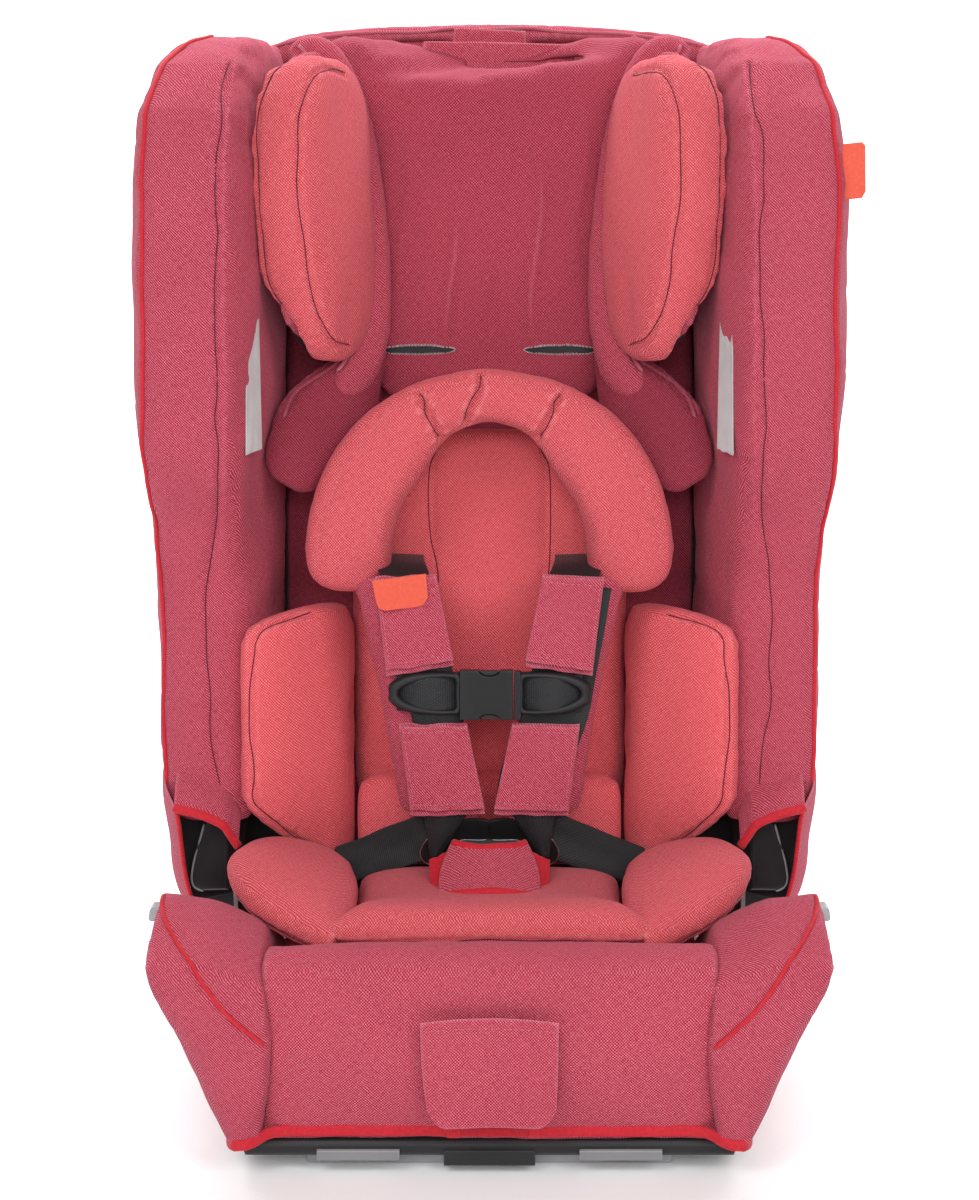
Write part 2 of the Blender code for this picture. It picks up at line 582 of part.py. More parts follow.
def make_chest_clip(back):
    """Two halves that slide on the shoulder webbing and lock in a middle block with two squeeze tabs."""
    front, rear = -0.0745, -0.0618
    low, high = CLIP_Z - CLIP_HALF_HEIGHT, CLIP_Z + CLIP_HALF_HEIGHT
    block_half = 0.020
    spans = {"left": (-0.0740, -block_half - GAP), "right": (-block_half, 0.0740)}
    for side, sign in LEFT_RIGHT:
        low_x, high_x = spans[side]
        half = box(f"chest_clip_{side}", (low_x, front, low + 0.002), (high_x, rear, high - 0.002),
                   "black_plastic", back, bevel=0.003)
        channel = sorted((sign * 0.0315, sign * 0.0722))
        cut_box(half, "channel", (channel[0], -0.0702, low - 0.01), (channel[1], -0.0660, high + 0.01), back)
        window = sorted((sign * 0.0350, sign * 0.0660))
        cut_box(half, "window", (window[0], -0.09, CLIP_Z - 0.010), (window[1], -0.0690, CLIP_Z + 0.010),
                back, bevel=0.002)
        if side == "right":
            for label, ends in (("upper", (CLIP_Z + 0.0105, high + 0.01)), ("lower", (low - 0.01, CLIP_Z - 0.0105))):
                cut_box(half, f"{label}_well", (-0.0125, front + 0.0025, ends[0]),
                        (0.0125, rear - 0.0025, ends[1]), back)
    for label, ends in (("upper", (CLIP_Z + 0.0135, high + 0.001)), ("lower", (low - 0.001, CLIP_Z - 0.0135))):
        box(f"clip_tab_{label}", (-0.0120, front + 0.0030, ends[0]), (0.0120, rear - 0.0030, ends[1]),
            "grey_plastic", back, bevel=0.0015)


def make_hinge_cover(side, sign, back):
    """Rounded plastic cover over the outside of the fold hinge."""
    outline = [(y + 0.002, z - 0.027) for y, z in rounded_rectangle(0.032, 0.030, 0.012)]
    if sign > 0:
        rounded_slab(f"hinge_cover_{side}", outline, 0.1934, 0.2210, 0.006, along_x, "black_plastic", back,
                     low_edge=0.001)
        return

    def mirrored(u, v, depth):
        return Vector((-depth, u, v))

    rounded_slab(f"hinge_cover_{side}", outline, 0.1934, 0.2210, 0.006, mirrored, "black_plastic", back,
                 low_edge=0.001)


def make_back_hardware(back):
    """Rear webbing, its splitter plate and the lever that frees the back to fold."""
    half = [(0.073, 0.225), (0.036, 0.225), (0.004, 0.100)]
    outline = half + [(-x, z) for x, z in half[::-1]]
    tail = [(0.019, -0.020), (0.020, 0.062)]
    outline += [(-x, z) for x, z in tail[::-1]] + tail
    rounded_slab("rear_strap", outline, 0.0781, 0.0797, 0, along_y, "webbing", back)
    box("splitter_plate", (-0.026, 0.0801, 0.056), (0.026, 0.0826, 0.092), "steel", back, bevel=0.0008)
    lever = box("fold_lock_lever", (-0.055, 0.0783, -0.056), (0.055, 0.0888, -0.026), "grey_plastic", back,
                bevel=0.002)
    cut_box(lever, "finger_dip", (-0.038, 0.0845, -0.052), (0.038, 0.1, -0.036), back, bevel=0.002)


# ---- head support ----
WING_START = Vector((0.1020, 0.0345))
WING_END = Vector((0.1640, -0.0860))
WING_ALONG = (WING_END - WING_START).normalized()
WING_IN = Vector((WING_ALONG.y, -WING_ALONG.x))


def wing_place(sign):
    """Wing frame: u forward along the wing, v up, depth inwards from the shell."""
    def place(u, v, depth):
        plan = WING_START + WING_ALONG * u + WING_IN * depth
        return Vector((sign * plan.x, plan.y, v))
    return place


def make_headrest_shell(head):
    """Thin plastic cradle: a rear plate with a wing on each side."""
    thick = 0.005
    # height, how far along the wing the shell reaches
    stations = [(0.318, 0.010), (0.326, 0.050), (0.345, 0.085), (0.385, 0.112), (0.440, 0.122),
                (0.490, 0.118), (0.520, 0.095), (0.534, 0.060), (0.538, 0.012)]
    rings = []
    for z, reach in stations:
        outer, inner = [], []
        for share in (1.0, 0.7, 0.35, 0.0):
            point = WING_START + WING_ALONG * reach * share
            outer.append(point - WING_IN * 0.0)
            inner.append(point + WING_IN * thick)
        rear = WING_START.y + 0.0055
        outer[-1] = Vector((WING_START.x - 0.004, rear))
        inner[-1] = Vector((WING_START.x - 0.008, rear - thick))
        half = [(p.x, p.y, z) for p in outer] + [(0.040, rear, z)]
        half_in = [(p.x, p.y, z) for p in inner] + [(0.040, rear - thick, z)]
        ring = half + [(-x, y, h) for x, y, h in half[::-1]]
        ring += [(-x, y, h) for x, y, h in half_in] + half_in[::-1]
        rings.append(ring)
    shell = loft("headrest_shell", rings, "black_plastic", head)
    cut_harness_slots(shell, SLOT_ROWS[1:], head)


def make_headrest_cover(head):
    half = [(0.070, 0.296), (0.082, 0.310), (0.082, 0.520), (0.074, 0.545), (0.030, 0.553), (0.0, 0.549)]
    outline = half + [(-x, z) for x, z in half[-2::-1]]
    cover = rounded_slab("headrest_cover", outline, 0.0120, 0.0345, 0.005, along_y, "crimson_fabric", head,
                         low_edge=0.008)
    cut_harness_slots(cover, SLOT_ROWS[1:], head)


def make_headrest_wing(side, sign, head):
    """Fabric wing with its lower lobe, and the oval cushion on its inner face."""
    place = wing_place(sign)
    wing = [(0.012, 0.330), (0.016, 0.258), (0.032, 0.240), (0.050, 0.262), (0.080, 0.312), (0.116, 0.352),
            (0.130, 0.420), (0.127, 0.495), (0.108, 0.540), (0.060, 0.553), (0.018, 0.546), (0.010, 0.440)]
    rounded_slab(f"headrest_wing_{side}", smooth_loop(wing, 2), 0.0075, 0.0170, 0.003, place,
                 "crimson_fabric", head)
    cushion = [(0.030, 0.350), (0.055, 0.326), (0.090, 0.330), (0.116, 0.372), (0.126, 0.435), (0.122, 0.500),
               (0.102, 0.538), (0.070, 0.545), (0.040, 0.526), (0.028, 0.470), (0.026, 0.400)]
    rounded_slab(f"headrest_cushion_{side}", smooth_loop(cushion, 2), 0.0175, 0.0455, 0.013, place,
                 "coral_fabric", head, low_edge=0.004)


def make_headrest_release(head):
    lever = box("headrest_release_lever", (-0.024, 0.0406, 0.5375), (0.024, 0.0470, 0.5700), "black_plastic",
                head, bevel=0.0015)
    cut_box(lever, "finger_slot", (-0.016, 0.03, 0.5480), (0.016, 0.06, 0.5600), head, bevel=0.0015)


def build():
    clear_scene()
    make_base_shell()
    make_cross_tube()
    make_seat_cover()
    make_adjuster()
    make_feet()
    make_insert_seat()
    make_buckle()
    back = add_frame("back_hinge", (0, HINGE_Y, HINGE_Z), -RECLINE)
    make_back_shell(back)
    make_back_cover(back)
    make_top_rim(back)
    make_insert_back(back)
    make_chest_clip(back)
    make_back_hardware(back)
    head = add_frame("headrest_slide", (0, 0, 0), parent=back)
    make_headrest_shell(head)
    make_headrest_cover(head)
    make_headrest_release(head)
    for side, sign in LEFT_RIGHT:
        make_side_rail(side, sign)
        make_pivot_pin(side, sign)
        make_arm_pad(side, sign)
        make_cup_holder_bracket(side, sign)
        make_lap_strap(side, sign)
        make_back_frame(side, sign, back)
        make_bolster(side, sign, back)
        make_shoulder_harness(side, sign, back)
        make_hinge_cover(side, sign, back)
        make_headrest_wing(side, sign, head)


build()
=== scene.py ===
"""Looks of the convertible car seat: covers, pads, webbing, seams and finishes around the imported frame.

Metres, +Z up, the seat faces -Y. Pieces on the back are placed in the back's own frame, whose origin is
the fold hinge: x across the seat, y towards the rear (so -y is forward), z up along the reclined back.
A padded piece is described by a Pad: its starting shape is blown up as cloth with its seams held, and
then gets its seams, piping and stitches.
"""
import json
from math import ceil, cos, exp, pi, radians, sin

import bmesh
import bpy
from mathutils import Matrix, Vector, noise
from mathutils.bvhtree import BVHTree
from mathutils.kdtree import KDTree
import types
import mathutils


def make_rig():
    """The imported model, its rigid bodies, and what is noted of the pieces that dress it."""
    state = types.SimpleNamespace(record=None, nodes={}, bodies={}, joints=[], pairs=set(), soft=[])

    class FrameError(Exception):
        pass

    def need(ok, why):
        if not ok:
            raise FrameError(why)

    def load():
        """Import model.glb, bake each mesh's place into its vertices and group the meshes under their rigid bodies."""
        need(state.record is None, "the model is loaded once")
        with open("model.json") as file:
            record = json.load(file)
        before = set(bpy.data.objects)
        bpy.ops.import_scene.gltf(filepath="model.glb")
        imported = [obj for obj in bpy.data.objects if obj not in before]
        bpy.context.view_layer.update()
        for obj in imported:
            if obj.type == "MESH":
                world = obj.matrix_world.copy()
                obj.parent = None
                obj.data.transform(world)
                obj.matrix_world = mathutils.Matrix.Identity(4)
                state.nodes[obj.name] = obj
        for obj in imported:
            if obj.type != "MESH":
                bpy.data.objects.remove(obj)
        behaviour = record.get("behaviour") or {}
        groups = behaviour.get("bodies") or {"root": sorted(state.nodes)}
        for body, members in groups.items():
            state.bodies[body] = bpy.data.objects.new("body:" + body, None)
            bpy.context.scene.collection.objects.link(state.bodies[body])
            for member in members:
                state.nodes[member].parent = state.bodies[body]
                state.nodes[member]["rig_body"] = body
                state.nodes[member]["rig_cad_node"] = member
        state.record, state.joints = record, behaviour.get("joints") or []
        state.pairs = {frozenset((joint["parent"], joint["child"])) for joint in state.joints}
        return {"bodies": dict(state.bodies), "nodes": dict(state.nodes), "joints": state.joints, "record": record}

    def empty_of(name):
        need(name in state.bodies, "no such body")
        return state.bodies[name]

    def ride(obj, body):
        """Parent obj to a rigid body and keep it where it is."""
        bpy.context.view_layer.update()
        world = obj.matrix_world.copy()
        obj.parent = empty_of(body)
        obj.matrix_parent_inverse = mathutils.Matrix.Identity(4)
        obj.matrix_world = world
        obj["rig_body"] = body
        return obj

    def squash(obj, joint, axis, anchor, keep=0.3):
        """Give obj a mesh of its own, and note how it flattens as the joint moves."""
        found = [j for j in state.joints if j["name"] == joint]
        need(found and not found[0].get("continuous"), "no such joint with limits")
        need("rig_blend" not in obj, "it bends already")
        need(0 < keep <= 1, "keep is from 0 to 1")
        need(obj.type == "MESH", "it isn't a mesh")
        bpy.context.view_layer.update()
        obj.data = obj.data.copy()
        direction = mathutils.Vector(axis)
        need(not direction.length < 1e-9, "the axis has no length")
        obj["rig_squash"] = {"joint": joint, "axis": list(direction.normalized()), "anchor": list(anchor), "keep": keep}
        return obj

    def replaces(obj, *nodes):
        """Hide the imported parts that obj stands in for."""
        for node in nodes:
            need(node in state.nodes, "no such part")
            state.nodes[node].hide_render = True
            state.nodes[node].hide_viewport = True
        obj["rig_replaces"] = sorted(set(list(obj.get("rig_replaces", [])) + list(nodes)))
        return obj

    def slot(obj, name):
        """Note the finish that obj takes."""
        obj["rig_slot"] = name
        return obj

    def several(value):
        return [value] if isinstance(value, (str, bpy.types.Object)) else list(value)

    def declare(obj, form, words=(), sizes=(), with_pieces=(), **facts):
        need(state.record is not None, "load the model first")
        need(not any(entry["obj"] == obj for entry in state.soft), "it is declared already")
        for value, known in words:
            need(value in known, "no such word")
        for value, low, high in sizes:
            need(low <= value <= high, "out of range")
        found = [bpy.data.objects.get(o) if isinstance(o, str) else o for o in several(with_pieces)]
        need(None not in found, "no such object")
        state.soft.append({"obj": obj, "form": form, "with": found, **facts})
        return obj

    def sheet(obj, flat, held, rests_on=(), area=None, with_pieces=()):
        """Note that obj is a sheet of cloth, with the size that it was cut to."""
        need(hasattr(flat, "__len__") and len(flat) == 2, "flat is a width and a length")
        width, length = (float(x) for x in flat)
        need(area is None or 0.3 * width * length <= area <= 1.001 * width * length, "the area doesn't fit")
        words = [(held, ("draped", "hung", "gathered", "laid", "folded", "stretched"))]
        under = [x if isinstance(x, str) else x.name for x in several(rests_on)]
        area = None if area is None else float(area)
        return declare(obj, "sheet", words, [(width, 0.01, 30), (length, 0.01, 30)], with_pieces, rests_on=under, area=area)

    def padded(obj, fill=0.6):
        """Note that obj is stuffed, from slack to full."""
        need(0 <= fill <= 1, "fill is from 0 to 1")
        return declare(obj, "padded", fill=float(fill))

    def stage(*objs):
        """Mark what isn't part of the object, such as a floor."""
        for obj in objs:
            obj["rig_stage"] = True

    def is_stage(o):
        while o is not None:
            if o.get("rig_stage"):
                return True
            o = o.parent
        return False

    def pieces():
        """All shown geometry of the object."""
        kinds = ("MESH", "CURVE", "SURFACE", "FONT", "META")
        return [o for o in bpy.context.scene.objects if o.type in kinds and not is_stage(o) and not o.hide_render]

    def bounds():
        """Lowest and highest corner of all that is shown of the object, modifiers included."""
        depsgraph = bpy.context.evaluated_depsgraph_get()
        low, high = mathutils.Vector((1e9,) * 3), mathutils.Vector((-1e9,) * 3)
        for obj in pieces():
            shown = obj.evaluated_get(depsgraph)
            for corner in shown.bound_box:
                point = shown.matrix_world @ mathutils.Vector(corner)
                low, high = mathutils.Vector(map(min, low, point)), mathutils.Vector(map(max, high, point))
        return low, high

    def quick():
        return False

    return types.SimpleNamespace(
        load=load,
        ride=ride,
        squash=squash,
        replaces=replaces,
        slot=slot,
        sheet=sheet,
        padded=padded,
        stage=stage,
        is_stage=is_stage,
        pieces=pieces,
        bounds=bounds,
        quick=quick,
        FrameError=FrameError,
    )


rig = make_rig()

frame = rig.load()
CAD_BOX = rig.bounds()

# ---- frames and driving dimensions ----
RECLINE = radians(9)
HINGE = Vector(next(joint["pos_m"] for joint in frame["joints"] if joint["name"] == "back_fold"))
BACK = Matrix.Translation(HINGE) @ Matrix.Rotation(-RECLINE, 4, "X")
BASE = Matrix.Identity(4)
BACK_UP = BACK.to_3x3() @ Vector((0, 0, 1))
BACK_REAR = BACK.to_3x3() @ Vector((0, 1, 0))
SIDES = (("left", -1), ("right", 1))

VOXEL = 0.005                       # spacing of the cloth before it is subdivided
THREAD = 0.00045                    # radius of a seam's thread line
PIPING = 0.0016                     # radius of the bright piping
WEB_THICK = 0.0016                  # thickness of the webbing

COVER_CLOTH = {
    "quality": 4, "mass": 0.25, "tension_stiffness": 9, "compression_stiffness": 9, "shear_stiffness": 4,
    "bending_stiffness": 0.35, "use_pressure": True, "vertex_group_mass": "held",
}

collection = bpy.context.scene.collection


# ---- material graphs ----
class Graph:
    """A material with short names for the nodes it needs."""

    def __init__(self, name):
        self.material = bpy.data.materials.new(name)
        self.material.use_nodes = True
        self.tree = self.material.node_tree
        self.shader = self.tree.nodes.get("Principled BSDF")
        self.coords = self.tree.nodes.new("ShaderNodeTexCoord")
        self.place = self.coords.outputs["Object"]

    def plug(self, socket, value):
        if isinstance(value, bpy.types.NodeSocket):
            self.tree.links.new(value, socket)
        elif value is not None:
            socket.default_value = value

    def math(self, operation, first, second=None, third=None):
        node = self.tree.nodes.new("ShaderNodeMath")
        node.operation = operation
        for socket, value in zip(node.inputs, (first, second, third)):
            self.plug(socket, value)
        return node.outputs[0]

    def split(self, vector):
        node = self.tree.nodes.new("ShaderNodeSeparateXYZ")
        self.plug(node.inputs[0], vector)
        return node.outputs

    def join(self, x, y, z=0.0):
        node = self.tree.nodes.new("ShaderNodeCombineXYZ")
        for socket, value in zip(node.inputs, (x, y, z)):
            self.plug(socket, value)
        return node.outputs[0]

    def noise(self, vector, scale, detail=2.0, rough=0.5):
        node = self.tree.nodes.new("ShaderNodeTexNoise")
        self.plug(node.inputs["Vector"], vector)
        node.inputs["Scale"].default_value = scale
        node.inputs["Detail"].default_value = detail
        node.inputs["Roughness"].default_value = rough
        return node.outputs["Fac"]

    def ramp(self, value, low, high, to_low=0.0, to_high=1.0):
        node = self.tree.nodes.new("ShaderNodeMapRange")
        for socket, item in zip(node.inputs, (value, low, high, to_low, to_high)):
            self.plug(socket, item)
        return node.outputs[0]

    def mix(self, factor, first, second):
        node = self.tree.nodes.new("ShaderNodeMix")
        node.data_type = "RGBA"
        for socket, value in ((node.inputs[0], factor), (node.inputs[6], first), (node.inputs[7], second)):
            self.plug(socket, (*value, 1) if isinstance(value, tuple) else value)
        return node.outputs[2]

    def attribute(self, name):
        node = self.tree.nodes.new("ShaderNodeAttribute")
        node.attribute_name = name
        return node.outputs["Fac"]

    def pointiness(self):
        return self.tree.nodes.new("ShaderNodeNewGeometry").outputs["Pointiness"]

    def cloth_plane(self):
        """Two coordinates that lie in the surface: the axis plane that the surface faces most."""
        x, y, z = self.split(self.place)
        facing = [self.math("ABSOLUTE", part) for part in self.split(self.coords.outputs["Normal"])]
        front = self.math("GREATER_THAN", facing[1], facing[0])
        level = self.math("GREATER_THAN", facing[2], self.math("MAXIMUM", facing[0], facing[1]))
        u = self.blend(self.math("MAXIMUM", front, level), y, x)
        v = self.blend(level, z, y)
        return u, v

    def blend(self, factor, first, second):
        node = self.tree.nodes.new("ShaderNodeMix")
        node.data_type = "FLOAT"
        for socket, value in ((node.inputs[0], factor), (node.inputs[2], first), (node.inputs[3], second)):
            self.plug(socket, value)
        return node.outputs[0]

    def finish(self, colour, roughness, height=None, depth=0.0003, strength=1.0, **constants):
        """Plugs the shader; constants such as Sheen_Weight are set on its own sockets."""
        self.plug(self.shader.inputs["Base Color"], colour)
        self.plug(self.shader.inputs["Roughness"], roughness)
        if height is not None:
            bump = self.tree.nodes.new("ShaderNodeBump")
            bump.inputs["Strength"].default_value = strength
            bump.inputs["Distance"].default_value = depth
            self.plug(bump.inputs["Height"], height)
            self.plug(self.shader.inputs["Normal"], bump.outputs[0])
        for name, value in constants.items():
            self.shader.inputs[name.replace("_", " ")].default_value = value
        return self.material


def fabric(name, base, light, dark, pitch=0.0019, plain=0.35, fleck=0.55):
    """Heather cloth: a diagonal weave with lighter and darker yarns, its valleys painted darker as shade. plain is how
    square the weave is.
    """
    graph = Graph(name)
    u, v = graph.cloth_plane()
    drift = graph.math("MULTIPLY", graph.noise(graph.place, 90, 1), pitch * 1.6)
    rate = 2 * pi / pitch
    slant = graph.math("ADD", graph.math("ADD", u, v), drift)
    along = graph.math("SINE", graph.math("MULTIPLY", slant, rate))
    across = graph.math("SINE", graph.math("MULTIPLY", graph.math("SUBTRACT", u, v), rate))
    weave = graph.math("MULTIPLY_ADD", across, plain, along)
    height = graph.ramp(weave, -1 - plain, 1 + plain)
    warp = graph.noise(graph.join(graph.math("MULTIPLY", u, 2200), graph.math("MULTIPLY", v, 260)), 1, 2)
    weft = graph.noise(graph.join(graph.math("MULTIPLY", u, 260), graph.math("MULTIPLY", v, 2200)), 1, 2)
    yarn = graph.math("ADD", graph.math("MULTIPLY", warp, 0.5), graph.math("MULTIPLY", weft, 0.5))
    patch = graph.noise(graph.place, 14, 3)
    # painted shade: the valleys of the weave take the dark colour and its crowns the base colour
    body = graph.mix(graph.ramp(height, 0.18, 0.62), dark, base)
    lit = graph.math("MULTIPLY", graph.ramp(yarn, 0.42, 0.62, 0.06, fleck), graph.ramp(height, 0.40, 0.80))
    colour = graph.mix(lit, body, light)
    colour = graph.mix(graph.ramp(yarn, 0.49, 0.36, 0.0, 0.35), colour, dark)
    colour = graph.mix(graph.ramp(patch, 0.45, 0.7, 0.0, 0.10), colour, dark)
    colour = graph.mix(graph.ramp(graph.pointiness(), 0.52, 0.60, 0.0, 0.45), colour, light)
    fuzz = graph.noise(graph.place, 2600, 2)
    relief = graph.math("MULTIPLY_ADD", fuzz, 0.35, height)
    rough = graph.ramp(yarn, 0.3, 0.7, 0.82, 0.96)
    return graph.finish(colour, rough, relief, 0.00045, 0.75, Sheen_Weight=0.10, Sheen_Roughness=0.45,
                        Sheen_Tint=(0.95, 0.65, 0.80, 1), Specular_IOR_Level=0.2)


def tape_cloth(name, base, light):
    """Close ribbed tape, as on the piping and the bound edges."""
    graph = Graph(name)
    x, y, z = graph.split(graph.place)
    run = graph.math("ADD", graph.math("ADD", x, y), graph.math("MULTIPLY", z, 1.3))
    rib = graph.math("SINE", graph.math("MULTIPLY", run, 2 * pi / 0.0011))
    tone = graph.noise(graph.place, 420, 3)
    colour = graph.mix(graph.ramp(tone, 0.42, 0.7, 0.0, 0.45), base, light)
    height = graph.math("MULTIPLY_ADD", tone, 0.6, graph.ramp(rib, -1, 1))
    rough = graph.ramp(tone, 0.3, 0.7, 0.6, 0.8)
    return graph.finish(colour, rough, height, 0.00018, 0.45, Sheen_Weight=0.15, Sheen_Roughness=0.4,
                        Specular_IOR_Level=0.3)


def webbing_cloth():
    """Polyester webbing: fine ribs along its length, crossed by the weave; its raised ribs and twill are painted
    lighter as a sheen.
    """
    graph = Graph("black_webbing")
    along, across = graph.attribute("along"), graph.attribute("across")
    ribs = graph.math("SINE", graph.math("MULTIPLY", across, 2 * pi / 0.0016))
    slant = graph.math("ADD", graph.math("MULTIPLY", along, 2 * pi / 0.0021),
                       graph.math("MULTIPLY", across, 2 * pi / 0.0032))
    twill = graph.math("SINE", slant)
    height = graph.ramp(graph.math("ADD", ribs, twill), -2, 2)
    tone = graph.noise(graph.place, 700, 3)
    # painted sheen: the raised ribs and twill are lighter than the grooves
    colour = graph.mix(height, (0.004, 0.004, 0.005), (0.022, 0.022, 0.024))
    colour = graph.mix(graph.ramp(tone, 0.5, 0.8, 0.0, 0.2), colour, (0.05, 0.05, 0.054))
    rough = graph.ramp(tone, 0.3, 0.7, 0.42, 0.62)
    return graph.finish(colour, rough, height, 0.0003, 0.7, Sheen_Weight=0.05, Sheen_Roughness=0.35,
                        Specular_IOR_Level=0.3)


def moulded(name, base, worn, roughness, grain=900.0, depth=0.00012):
    """Moulded plastic: fine grain, slight mottling, and edges rubbed a little lighter."""
    graph = Graph(name)
    pebble = graph.noise(graph.place, grain, 4, 0.6)
    patch = graph.noise(graph.place, 22, 3)
    colour = graph.mix(graph.ramp(patch, 0.35, 0.75, 0.0, 0.25), base, worn)
    colour = graph.mix(graph.ramp(graph.pointiness(), 0.52, 0.60, 0.0, 0.75), colour, worn)
    rough = graph.ramp(patch, 0.3, 0.7, roughness - 0.06, roughness + 0.08)
    return graph.finish(colour, rough, pebble, depth, 0.5, Specular_IOR_Level=0.25)


def plated_steel():
    """Bright zinc: faint drawn lines and cloudy patches."""
    graph = Graph("zinc_steel")
    x, y, z = graph.split(graph.place)
    lines = graph.noise(graph.join(graph.math("MULTIPLY", x, 1200), graph.math("MULTIPLY", y, 60),
                                   graph.math("MULTIPLY", z, 900)), 1, 3)
    cloud = graph.noise(graph.place, 45, 4)
    colour = graph.mix(graph.ramp(cloud, 0.35, 0.7), (0.30, 0.30, 0.31), (0.44, 0.44, 0.45))
    rough = graph.math("ADD", graph.ramp(cloud, 0.3, 0.7, 0.30, 0.46), graph.math("MULTIPLY", lines, 0.1))
    return graph.finish(colour, rough, lines, 0.00008, 0.4, Metallic=1.0)


def grip_rubber():
    graph = Graph("grip_rubber")
    grain = graph.noise(graph.place, 1500, 4, 0.65)
    patch = graph.noise(graph.place, 30, 3)
    colour = graph.mix(graph.ramp(patch, 0.3, 0.7), (0.24, 0.24, 0.25), (0.36, 0.36, 0.37))
    return graph.finish(colour, graph.ramp(grain, 0.3, 0.7, 0.75, 0.95), grain, 0.0002, 0.6)


def printed_paper():
    """Blank satin care label: faint weave, no print."""
    graph = Graph("blank_label")
    level = graph.split(graph.place)[2]
    rib = graph.math("SINE", graph.math("MULTIPLY", level, 2 * pi / 0.0012))
    patch = graph.noise(graph.place, 60, 3)
    colour = graph.mix(graph.ramp(patch, 0.3, 0.8, 0.0, 0.6), (0.52, 0.51, 0.51), (0.40, 0.39, 0.40))
    return graph.finish(colour, graph.ramp(patch, 0.3, 0.7, 0.55, 0.7), rib, 0.00008, 0.4)


def frayed_fibre():
    graph = Graph("frayed_fibre")
    tone = graph.noise(graph.place, 1300, 3, 0.7)
    colour = graph.mix(graph.ramp(tone, 0.35, 0.65), (0.30, 0.26, 0.27), (0.75, 0.66, 0.68))
    return graph.finish(colour, 0.9, tone, 0.0005, 0.9)


CRIMSON = fabric("crimson_heather", (0.540, 0.052, 0.090), (0.84, 0.32, 0.40), (0.190, 0.010, 0.028),
                 fleck=0.65)
# painted shade: a darker copy of the crimson cloth for the recessed back cushion and wing lobes, which lie in shadow
CRIMSON_SHADE_PAINTED = fabric("crimson_heather_deep", (0.310, 0.024, 0.048), (0.60, 0.18, 0.24),
                      (0.120, 0.006, 0.018), fleck=0.5)
# painted shade: a darker copy of the square crimson weave for the recessed head panel, which lies in shade
CRIMSON_HEAD_SHADE_PAINTED = fabric("crimson_heather_head", (0.400, 0.036, 0.066), (0.72, 0.24, 0.31),
                      (0.160, 0.008, 0.024), pitch=0.0021, plain=0.9, fleck=0.5)
CRIMSON_PLAIN = fabric("crimson_heather_square", (0.540, 0.052, 0.088), (0.84, 0.34, 0.42),
                       (0.190, 0.010, 0.028), pitch=0.0021, plain=0.9, fleck=0.65)
CORAL = fabric("coral_heather", (0.660, 0.084, 0.104), (0.92, 0.40, 0.40), (0.33, 0.020, 0.036),
               pitch=0.0020, plain=0.8, fleck=0.65)
# painted light: a lighter copy of the coral cloth for the insert's back, lumbar and side pads, brightened against the
# shadow of the pillow and shoulder pads
CORAL_LIGHT_PAINTED = fabric("coral_heather_bright", (0.800, 0.106, 0.124), (0.94, 0.40, 0.41), (0.44, 0.028, 0.046),
                      pitch=0.0020, plain=0.8, fleck=0.65)
SCARLET = tape_cloth("scarlet_tape", (0.47, 0.008, 0.020), (0.66, 0.035, 0.05))
SEAM_THREAD = tape_cloth("seam_thread", (0.085, 0.006, 0.014), (0.20, 0.02, 0.035))
PINK_THREAD = tape_cloth("top_stitch_thread", (0.52, 0.10, 0.15), (0.78, 0.30, 0.34))
ORANGE = tape_cloth("orange_label", (0.66, 0.085, 0.048), (0.74, 0.14, 0.08))
WEBBING = webbing_cloth()
BLACK = moulded("black_plastic_grain", (0.007, 0.007, 0.008), (0.030, 0.030, 0.032), 0.46)
CHARCOAL = moulded("charcoal_plastic", (0.014, 0.014, 0.015), (0.045, 0.045, 0.048), 0.55)
GREY = moulded("grey_plastic_grain", (0.17, 0.17, 0.175), (0.34, 0.34, 0.35), 0.48)
RED_PLASTIC = moulded("red_button_plastic", (0.55, 0.012, 0.012), (0.78, 0.10, 0.08), 0.30, 500.0, 0.00005)
STEEL = plated_steel()
RUBBER = grip_rubber()
LABEL = printed_paper()
FRAY = frayed_fibre()

SLOT_OF = {
    WEBBING: "webbing", BLACK: "black_plastic", CHARCOAL: "black_plastic", GREY: "grey_plastic",
    LABEL: "grey_plastic", RED_PLASTIC: "red_plastic", STEEL: "steel", RUBBER: "rubber",
    **dict.fromkeys((CORAL, CORAL_LIGHT_PAINTED, ORANGE), "coral_fabric"),
    **dict.fromkeys((CRIMSON, CRIMSON_PLAIN, CRIMSON_SHADE_PAINTED, CRIMSON_HEAD_SHADE_PAINTED, SCARLET, SEAM_THREAD, PINK_THREAD,
                     FRAY), "crimson_fabric"),
}
NODE_LOOKS = {
    "black_plastic": BLACK, "grey_plastic": GREY, "webbing": WEBBING, "steel": STEEL, "rubber": RUBBER,
    "red_plastic": RED_PLASTIC, "crimson_fabric": CRIMSON, "coral_fabric": CORAL,
}


# ---- meshes ----
def add_piece(name, builder, material, body, smooth=True):
    """Turns a bmesh into a piece that rides on a body."""
    bmesh.ops.recalc_face_normals(builder, faces=builder.faces)
    mesh = bpy.data.meshes.new(name)
    builder.to_mesh(mesh)
    builder.free()
    if smooth:
        mesh.shade_smooth()
    piece = bpy.data.objects.new(name, mesh)
    collection.objects.link(piece)
    mesh.materials.append(material)
    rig.slot(piece, SLOT_OF[material])
    if body:
        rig.ride(piece, body)
    return piece


def apply_modifiers(piece):
    """Makes the mesh what its modifiers show."""
    graph = bpy.context.evaluated_depsgraph_get()
    mesh = bpy.data.meshes.new_from_object(piece.evaluated_get(graph))
    piece.modifiers.clear()
    piece.data = mesh


